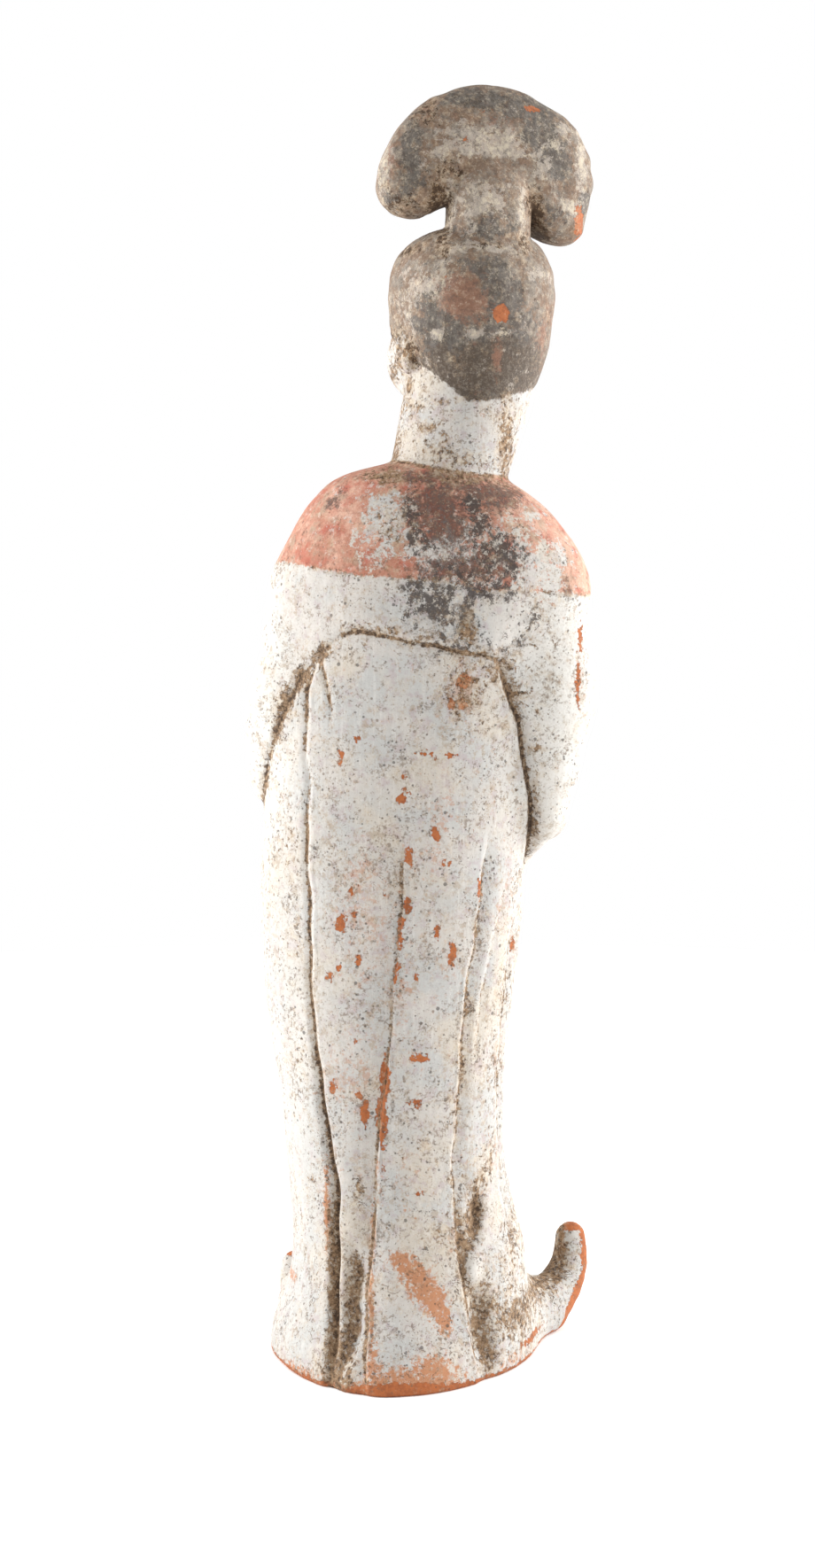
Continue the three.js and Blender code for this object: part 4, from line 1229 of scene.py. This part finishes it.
def slip_colour():
    """White slip, brushed on up and down, and stained, with painted light making it whiter on her flanks."""
    brushed = strong(cloudy(1, 3, 0.6, upright, shift=1), 2)
    grit = strong(cloudy(1.4, 6, 0.8, shift=6), 3)
    wide_stain = strong(cloudy(8, 4, vector=move("MULTIPLY", in_parts, (1, 1, 0.6)), shift=9), 1.6)
    return layered(
        "slip_cool",
        ("slip", step(cloudy(16), 0.4, 0.6)),
        ("slip_warm", step(cloudy(20, 4, shift=3), 0.5, 0.66)),
        ("lilac", step(cloudy(4, 4, 0.65, shift=5), 0.52, 0.66) * 0.55),
        ("slip_cool", step(brushed, 0.55, 0.9) * 0.25),
        ("slip_bright", step(brushed, 0.45, 0.1) * 0.3),
        # painted light: the slip is whiter on her flanks, where the side lamps fall, and on the swelling low
        # on her back
        ("slip_bright", mark("painted_light")),
        ("stain", step(grit, 0.6, 1.2) * 0.5),
        ("slip_bright", step(grit, 0.3, -0.2) * 0.7),
        ("stain", grainy(wide_stain * 0.5 - mark("clean") * 0.5, 3, shift=10, edge=0.15) * 0.6),
    )


def specks():
    """How much of a place is covered by brown specks and by dark ones."""
    crowd = (step(cloudy(10, 5, 0.65, shift=44), 0.44, 0.62) + 0.14) * (1 - mark("clean") * 0.8)
    brown = most(grainy(crowd * 0.22 + 0.14, 1.3, shift=45), dots(1.7, 0.5, crowd * 0.5))
    return brown, most(dots(2.2, 0.62, crowd * 0.45, shift=7), dots(1.3, 0.4, crowd * 0.5, shift=12))


def hair_colour():
    """Black paint on the hair, worn to grey and brown."""
    hollow, nape, pale = mark("deep_hollow"), mark("nape"), mark("pale")
    blotches = strong(cloudy(9, 4, 0.6, shift=13), 2.4)
    dark = mark("soot") * 1.1 + (1 - blotches) * 0.24
    brown = mark("brown") * 0.95 + hollow * 0.4
    worn_dark = layered("hair_slate", ("hair_dark", grainy(0.45, 3, shift=25, edge=0.2)))
    grain = strong(cloudy(1.8, 7, 0.85, shift=4), 5)
    porous = hollow * 0.8 + mark("earth") * 0.5 - 0.06
    return layered(
        "hair_grey",
        ("hair_brown", grainy(0.5, 5, shift=8, edge=0.25)),
        ("hair_nape", grainy(nape * 1.25, 2.4, shift=28, edge=0.3) * 0.92),
        ("hair_grey", grainy(0.4, 1.1, shift=27, edge=0.1) * nape * 0.55),
        (worn_dark, grainy(dark, 5, shift=22) * 0.85),
        ("hair_pale", grainy(pale * 0.8 + blotches * 0.25, 4, shift=21) * 0.75),
        ("hair_brown", grainy(brown, 3, shift=23) * 0.85),
        ("hair_rust", grainy(mark("rust"), 2.2, shift=29, edge=0.25) * 0.85),
        ("hair_cream", grainy(pale * 0.6 + hollow * 0.25, 2.4, shift=24) * 0.65),
        ("hair_dark", step(grain, 0.55, 1.1) * 0.6),
        ("hair_cream", step(grain, 0.4, -0.1) * (1 - nape) * 0.4),
        ("earth_dark", grainy(porous, 2, shift=26) * 0.85),
    )


def yoke_colour():
    """Pink paint on the yoke, uneven and dusty."""
    pale = mark("pale_pink") * 0.8 + cloudy(9, 3, shift=31) * 0.5
    return layered(
        "pink",
        ("pink_pale", grainy(pale, 9, shift=32, edge=0.4)),
        ("pink_red", step(strong(cloudy(6, 4, 0.55, shift=33), 3), 0.45, 1.1) * 0.85),
        ("stain", step(strong(cloudy(5, 5, 0.6, shift=34), 3), 0.5, 1.0) * 0.65),
        ("maroon_red", grainy(0.3, 2.2, shift=36, edge=0.12) * 0.4),
        ("slip_bright", grainy(0.2, 3, shift=35, edge=0.12) * 0.4),
    )


def maroon_colour():
    """The brown crust between the shoulders and on the hair."""
    return layered(
        "maroon",
        ("maroon_red", grainy(0.3, 3, shift=74, edge=0.3)),
        ("speck_dark", grainy(0.45, 1.2, shift=76, edge=0.06)),
        ("stain", grainy(0.16, 1.3, shift=77, edge=0.06)),
    )


def in_oval(side, up, at, level, half_width, half_height, edge):
    """Whether a place on the face is in an oval, with a soft edge."""
    across, above = (side - at) * (1 / half_width), (up - level) * (1 / half_height)
    return step(maths("SQRT", across * across + above * above), edge, 0.9)


def on_bow(side, up, at, level, drop, half_length, half_height):
    """Whether a place on the face is on a line that is highest and thickest at its middle."""
    across = side - at
    thick = most(1 - maths("POWER", size_of(across * (1 / half_length)), 2), 0.0) * half_height
    return step(size_of(up - (level - across * across * drop)) - thick, 0.15, -0.15)


def face_marks():
    """How much of the lips and of the brows and eyes is painted at a place."""
    face_place = Value(add_node("ShaderNodeAttribute", {}, attribute_name="face"), "Vector")
    split = add_node("ShaderNodeSeparateXYZ", {0: face_place})
    side, up = size_of(Value(split, 0)), Value(split, 2)
    brows = on_bow(side, up, eye["side"], eye["brow_up"], 0.045, 6.2, 0.75)
    lid_line = on_bow(side, up, eye["side"], eye["up"] + 0.9, 0.05, 4.8, 0.4)
    pupil = in_oval(side, up, eye["side"], eye["up"] - 0.2, 1.3, 1.1, 1.1)
    return in_oval(side, up, 0, mouth["up"], 3.6, 1.7, 1.05), most(brows, lid_line, pupil)


def earth_amounts(ragged):
    """How much burial earth a place holds, and how deep the line of a fold is cut there."""
    spread = strong(cloudy(3.2, 5, 0.65, shift=80), 1.6)
    lying = mark("earth") * (spread * 0.7 + 0.35) + spread * 0.12
    sheltered = mark("hollow") * 0.3 + mark("deep_hollow") * 0.16 - mark("clean") * 0.7
    beside, strength = size_of(mark("line_offset")), mark("line_strength")
    cut = step(beside + ragged * 0.12, 0.5, 0.05) * strength
    uneven = step(cloudy(7, 3, shift=42), 0.38, 0.56) * 0.7 + 0.3
    in_line = step(beside + ragged * 0.22, 1.05, 0.1) * uneven * strength * 0.85
    yoke_rim = step(size_of(mark("yoke")), 1.4, 0.3) * 0.22
    return lying + sheltered + in_line + yoke_rim, cut


def paint_edges(ragged):
    """Where the hair's paint, the yoke and chips are, and where the slip is rubbed thin."""
    hair = step(mark("hair") + ragged * 0.9, -0.5, 0.6)
    worn_yoke = grainy(mark("pale") * 0.85 + 0.1, 3, shift=61)
    yoke = step(mark("yoke") + ragged * 0.7, -0.3, 0.4) * (1 - worn_yoke)
    flecks = strong(cloudy(3, 5, 0.62, shift=50), 2) + mark("crest") * 0.16 + mark("thin") * 0.14
    flecks = flecks + strong(cloudy(26, 1, shift=51), 1.5) * 0.3
    chip = most(step(mark("chip") + ragged * 0.8, -0.05, 0.12), step(flecks, 1.14, 1.17))
    thin = mark("thin") * 0.8 + step(flecks, 0.8, 1.14) * 0.5
    return hair, yoke, chip, grainy(thin, 1.8, shift=52, edge=0.2) * (1 - hair)


def soot_coats(off_hair):
    """The brown crust, smoke, soot, and places where the soot has crumbled off."""
    patchy = strong(cloudy(5, 4, shift=70), 2.2) * 1.1 + 0.25
    sooty = mark("soot") * patchy * (1 - mark("clean"))
    return [
        (maroon_colour(), grainy(mark("brown") * 0.95, 2.4, shift=72, edge=0.2) * off_hair * 0.85),
        ("soot", grainy(sooty, 5, shift=73, edge=0.4) * off_hair * 0.3),
        ("soot", grainy(sooty, 2.4, shift=71) * off_hair * 0.9),
        ("slip_warm", grainy(mark("soot") * 0.42, 2, shift=75) * off_hair * 0.75),
    ]


def earth_coats(amount, crumbs, earth, hair):
    """A thin film of earth round the soil that lies in the folds and hollows."""
    film = layered("earth_pale", ("earth", step(crumbs, 0.3, 0.7)))
    soil = layered(
        "earth",
        ("earth_dark", step(crumbs + mark("hollow") * 0.35 + hair * 0.24, 0.42, 0.8)),
        ("earth_pale", step(crumbs, 0.35, 0) * (1 - hair * 0.6) * 0.8),
    )
    filmy = amount * 1.1 - mark("clean") * 0.3 + 0.1
    return [(film, grainy(filmy, 4, shift=82, edge=0.25) * 0.5), (soil, earth * 0.92)]


def paint_pottery():
    """Clay, slip, paint, wear, soot and earth, from the clay outwards, and the small relief in them."""
    ragged = cloudy(1.8, 6, 0.7, shift=40) * 6 - 3
    hair, yoke, chip, rubbed = paint_edges(ragged)
    off_hair = 1 - hair
    lips, ink = face_marks()
    worn_lines = step(cloudy(1.4, 4, 0.6, shift=95), 0.62, 0.52)
    brown_specks, dark_specks = specks()
    speckled = off_hair * (1 - yoke * 0.5)
    near_hem = step(Value(add_node("ShaderNodeSeparateXYZ", {0: in_parts}), 2), 75, 30)
    cracked = cracks(3.2, 0.2) * near_hem * (1 - chip)
    amount, cut = earth_amounts(ragged)
    earth = grainy(amount, 1.7, shift=81)
    crumbs = strong(cloudy(1.5, 6, 0.75, shift=41), 2.8)
    colour = layered(
        slip_colour(),
        (yoke_colour(), yoke),
        ("worn_clay", rubbed * 0.5),
        ("worn_clay", grainy(mark("worn") * 1.05 - 0.05, 1.8, shift=53, edge=0.15)),
        (hair_colour(), hair),
        ("lips", lips * worn_lines * 0.85),
        ("ink", ink * worn_lines * off_hair * 0.85),
        (layered("clay", ("clay_dark", step(cloudy(2, 5, 0.7, shift=90), 0.45, 0.6))), chip),
        *soot_coats(off_hair),
        ("speck_brown", brown_specks * speckled * 0.6),
        ("speck_dark", dark_specks * speckled * 0.68),
        ("speck_brown", cracked * 0.6),
        *earth_coats(amount, crumbs, earth, hair),
    )
    relief = (1 - chip) * 0.2 - cut * 0.5 + mark("lip") * 0.9 - dark_specks * 0.12 - cracked * 0.12
    relief = relief + cloudy(1, 3, 0.6, upright, shift=1) * 0.05 + cloudy(2.4, 5, 0.6, shift=100) * 0.35
    relief = relief + earth * crumbs * 0.3 + crumbs * hair * 0.12
    bump = add_node("ShaderNodeBump", {"Height": relief, "Distance": part, "Strength": 0.8})
    shader = add_node("ShaderNodeBsdfPrincipled", {
        "Base Color": colour,
        "Normal": Value(bump),
        "Roughness": 0.93 - hair * (1 - earth) * 0.2,
        "Specular IOR Level": 0.3,
    })
    add_node("ShaderNodeOutputMaterial", {"Surface": Value(shader)})


paint_pottery()
attendant.data.materials.append(pottery)
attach(attendant, "root")
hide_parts("attendant_figure")


def make_floor():
    """A round sheet of white paper."""
    radius, count = 1.0, 96
    turns = np.linspace(0, 2 * math.pi, count, False)
    mesh = bpy.data.meshes.new("floor")
    rim = [(radius * math.cos(turn), radius * math.sin(turn), 0) for turn in turns]
    mesh.from_pydata(rim, [], [tuple(range(count))])
    floor = bpy.data.objects.new("floor", mesh)
    bpy.context.scene.collection.objects.link(floor)
    paper = bpy.data.materials.new("white paper")
    paper.use_nodes = True
    shader = paper.node_tree.nodes["Principled BSDF"]
    shader.inputs["Base Color"].default_value = (0.96, 0.96, 0.955, 1)
    shader.inputs["Roughness"].default_value = 0.9
    shader.inputs["Specular IOR Level"].default_value = 0.0
    mesh.materials.append(paper)


make_floor()

# The camera stands behind her, a little to her right, and looks slightly down.
camera_azimuth = 188
camera_distance = 0.700
camera_level = 0.219
camera_pitch = 3.2
camera_lens = 50.85
camera_sensor = 36

# Two soft boxes stand at the sides: azimuth from the camera's side, and power
lights = dict(left_box=(-98, 16), right_box=(98, 17))
light_distance = 0.9
light_level = 0.35
light_size = (0.6, 0.9)


def look_from(thing, place, target):
    bpy.context.scene.collection.objects.link(thing)
    thing.location = place
    thing.rotation_euler = (Vector(target) - Vector(place)).to_track_quat("-Z", "Y").to_euler()


def make_light(name, azimuth, power):
    """A soft box, turned to the middle of the figure."""
    light = bpy.data.lights.new(name, "AREA")
    light.shape = "RECTANGLE"
    light.size, light.size_y = light_size
    light.energy = power
    turn = math.radians(camera_azimuth + azimuth)
    place = (light_distance * math.sin(turn), -light_distance * math.cos(turn), light_level)
    look_from(bpy.data.objects.new(name, light), place, (0, 0, height * 0.5))


def make_camera():
    turn, pitch = math.radians(camera_azimuth), math.radians(camera_pitch)
    data = bpy.data.cameras.new("camera")
    data.lens = camera_lens
    data.sensor_width = camera_sensor
    data.clip_start = 0.01
    camera = bpy.data.objects.new("camera", data)
    backwards = Vector((math.sin(turn), -math.cos(turn), 0))
    place = backwards * camera_distance + Vector((0, 0, camera_level))
    look_from(camera, place, place - backwards - Vector((0, 0, math.tan(pitch))))
    bpy.context.scene.camera = camera


def make_world():
    """Plain white light from all round."""
    world = bpy.data.worlds.new("studio")
    world.use_nodes = True
    world.node_tree.nodes["Background"].inputs["Color"].default_value = (1, 1, 1, 1)
    world.node_tree.nodes["Background"].inputs["Strength"].default_value = 1.0
    bpy.context.scene.world = world


make_camera()
for name, (azimuth, power) in lights.items():
    make_light(name, azimuth, power)
make_world()
bpy.context.scene.view_settings.view_transform = "Standard"
